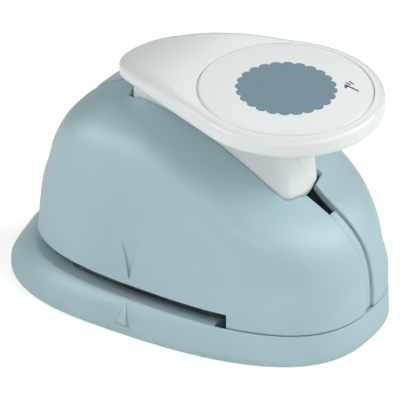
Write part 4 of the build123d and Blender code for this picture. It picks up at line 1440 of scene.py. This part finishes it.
@dataclass
class ReturnSpring:
    """A compression spring round a guide post, built at its node's length; the real one shortens
    as the ram goes down.
    """

    node: str
    turns: float = 5.0
    wire: float = 0.8
    travel: float = 3.7
    flat_turns: float = 0.75
    flat_pitch: float = 0.25
    sides: int = 8
    steps_per_turn: int = 36

    def build(self) -> None:
        """Builds the spring in the place of its node."""
        low, high = (np.array(corner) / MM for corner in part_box(self.node))
        centre = (low + high) / 2
        half = self.wire / 2
        radius = (high[0] - low[0]) / 2 - half
        turned = np.linspace(0, self.turns, int(self.turns * self.steps_per_turn) + 1)
        # The end turns lie flatter than the working turns, as on a closed end
        from_end = np.minimum(turned, self.turns - turned) / self.flat_turns
        pitch = self.flat_pitch + (1 - self.flat_pitch) * np.clip(from_end, 0, 1)
        climb = np.concatenate([[0], np.cumsum((pitch[1:] + pitch[:-1]) / 2)])
        heights = low[2] + half + (high[2] - low[2] - self.wire) * climb / climb[-1]
        section = circle(0.0, half, self.sides)
        rings = []
        for angle, height in zip(turned * math.tau, heights):
            reach = radius + section[:, 0]
            x = centre[0] + reach * math.cos(angle)
            y = centre[1] + reach * math.sin(angle)
            rings.append(np.column_stack([x, y, height + section[:, 1]]))
        coil = to_object(f"{self.node}_coil", skin(rings, (True, True)))
        finish_piece(coil, SPRING_STEEL, Body.ROOT, (self.node,))
        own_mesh(coil)


def dress_frame_nodes() -> None:
    """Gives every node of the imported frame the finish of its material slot."""
    for part in frame["record"]["subparts"]:
        node = frame["nodes"][part["node"]]
        finish = CAD_FINISHES[Slot(part["material_slot"])]
        node.data.materials.clear()
        node.data.materials.append(dressed(finish))
        LOG.info("%s: %s", node.name, finish.name)


# ---------------------------------------------------------------- studio


def direction(azimuth_deg: float, elevation_deg: float) -> Vector:
    """Turns two angles into a direction.

    Args:
        azimuth_deg: The angle from +X towards +Y.
        elevation_deg: The angle over the floor.

    Returns:
        A unit vector.
    """
    azimuth, elevation = math.radians(azimuth_deg), math.radians(elevation_deg)
    flat = math.cos(elevation)
    return Vector((math.cos(azimuth) * flat, math.sin(azimuth) * flat, math.sin(elevation)))


@dataclass
class Studio:
    """A pale floor, soft light and the photograph's camera."""

    azimuth_deg: float = -57.23
    elevation_deg: float = 31.57
    distance: float = 1501.5
    target: tuple[float, float, float] = (-0.304, 0.0, 24.556)
    sensor: float = 36.0
    focal_px: float = 5904.5
    image_px: float = 400.0
    clip: tuple[float, float] = (0.1, 20.0)
    floor_reach: float = 3000.0
    floor_drop: float = 0.02
    floor_glow: float = 0.35
    surround: float = 0.004
    lamp_distance: float = 1.1
    lamp_size: float = 0.5
    lamp_aim: tuple[float, float, float] = (0.0, 0.0, 0.03)
    # Softboxes: name, azimuth, elevation and watts
    softboxes = (
        ("key_softbox", 45.0, 36.0, 6.8),
        ("right_softbox", 0.0, 38.0, 3.6),
        ("front_right_low_softbox", 302.0, 20.0, 3.2),
        ("back_softbox", 112.0, 38.0, 1.5),
        ("front_left_softbox", 222.0, 38.0, 6.2),
        ("front_high_softbox", 270.0, 58.0, 1.2),
    )

    def camera(self) -> None:
        """Places the camera where the photograph was taken from."""
        data = bpy.data.cameras.new("camera")
        data.sensor_width = self.sensor
        data.sensor_fit = "HORIZONTAL"
        data.lens = self.focal_px / self.image_px * self.sensor
        data.clip_start, data.clip_end = self.clip
        camera = bpy.data.objects.new("camera", data)
        bpy.context.scene.collection.objects.link(camera)
        back = direction(self.azimuth_deg, self.elevation_deg)
        camera.location = (Vector(self.target) + back * self.distance) * MM
        camera.rotation_euler = back.to_track_quat("Z", "Y").to_euler()
        bpy.context.scene.camera = camera

    def floor(self) -> None:
        """Lays the pale floor, which looks white and keeps the object's shadow."""
        mesh = bmesh.new()
        corners = ((-1, -1), (1, -1), (1, 1), (-1, 1))
        far = self.floor_reach
        mesh.faces.new([mesh.verts.new((x * far, y * far, -self.floor_drop)) for x, y in corners])
        floor = to_object("floor", mesh)
        material, tree = new_tree("matt_paper_floor")
        rays = add_node(tree, "ShaderNodeLightPath")
        paper = add_node(tree, "ShaderNodeBsdfDiffuse", {"Color": linear("F4F4F4")})
        glow = add_node(tree, "ShaderNodeEmission", {"Color": WHITE, "Strength": self.floor_glow})
        both = {0: paper.outputs["BSDF"], 1: glow.outputs["Emission"]}
        lifted = add_node(tree, "ShaderNodeAddShader", {}, both)
        choice = {
            0: rays.outputs["Is Camera Ray"],
            1: paper.outputs["BSDF"],
            2: lifted.outputs["Shader"],
        }
        seen = add_node(tree, "ShaderNodeMixShader", {}, choice)
        add_node(tree, "ShaderNodeOutputMaterial", {}, {"Surface": seen.outputs["Shader"]})
        floor.data.materials.append(material)

    def lamp(self, name: str, azimuth_deg: float, elevation_deg: float, power: float) -> None:
        """Hangs one soft square lamp that faces the object.

        Args:
            name: The lamp's name.
            azimuth_deg: Its angle from +X towards +Y.
            elevation_deg: Its angle over the floor.
            power: Its watts.
        """
        data = bpy.data.lights.new(name, "AREA")
        data.shape = "SQUARE"
        data.size = self.lamp_size
        data.energy = power
        lamp = bpy.data.objects.new(name, data)
        lamp.location = direction(azimuth_deg, elevation_deg) * self.lamp_distance
        aim = lamp.location - Vector(self.lamp_aim)
        lamp.rotation_euler = aim.to_track_quat("Z", "Y").to_euler()
        bpy.context.scene.collection.objects.link(lamp)

    def light(self) -> None:
        """Lights the object softly from above, with a white surround."""
        for softbox in self.softboxes:
            self.lamp(*softbox)
        world = bpy.data.worlds.new("white_studio")
        world.use_nodes = True
        tree = world.node_tree
        tree.nodes.clear()
        rays = add_node(tree, "ShaderNodeLightPath").outputs
        kinds = {0: rays["Is Camera Ray"], 1: rays["Is Transmission Ray"]}
        seen = add_node(tree, "ShaderNodeMath", {"operation": "MAXIMUM"}, kinds)
        choice = {0: seen.outputs["Value"]}
        for number, strength in ((1, self.surround), (2, 1.0)):
            settings = {"Color": WHITE, "Strength": strength}
            backdrop = add_node(tree, "ShaderNodeBackground", settings)
            choice[number] = backdrop.outputs["Background"]
        mixed = add_node(tree, "ShaderNodeMixShader", {}, choice)
        add_node(tree, "ShaderNodeOutputWorld", {}, {"Surface": mixed.outputs["Shader"]})
        bpy.context.scene.world = world
        bpy.context.scene.view_settings.view_transform = "Standard"

    def build(self) -> None:
        """Sets up the camera, floor and light."""
        self.camera()
        self.floor()
        self.light()


def main() -> None:
    """Builds the punch and its studio."""
    logging.basicConfig(level=logging.INFO, format="%(name)s: %(message)s")
    Studio().build()
    dress_frame_nodes()
    shells = BodyShells()
    shells.build()
    Base(shells.foot_egg()).build()
    lever = Lever()
    lever.build()
    PadPrints(lever).build()
    for node in ("return_spring_front", "return_spring_rear"):
        ReturnSpring(node).build()


if __name__ == "__main__":
    main()
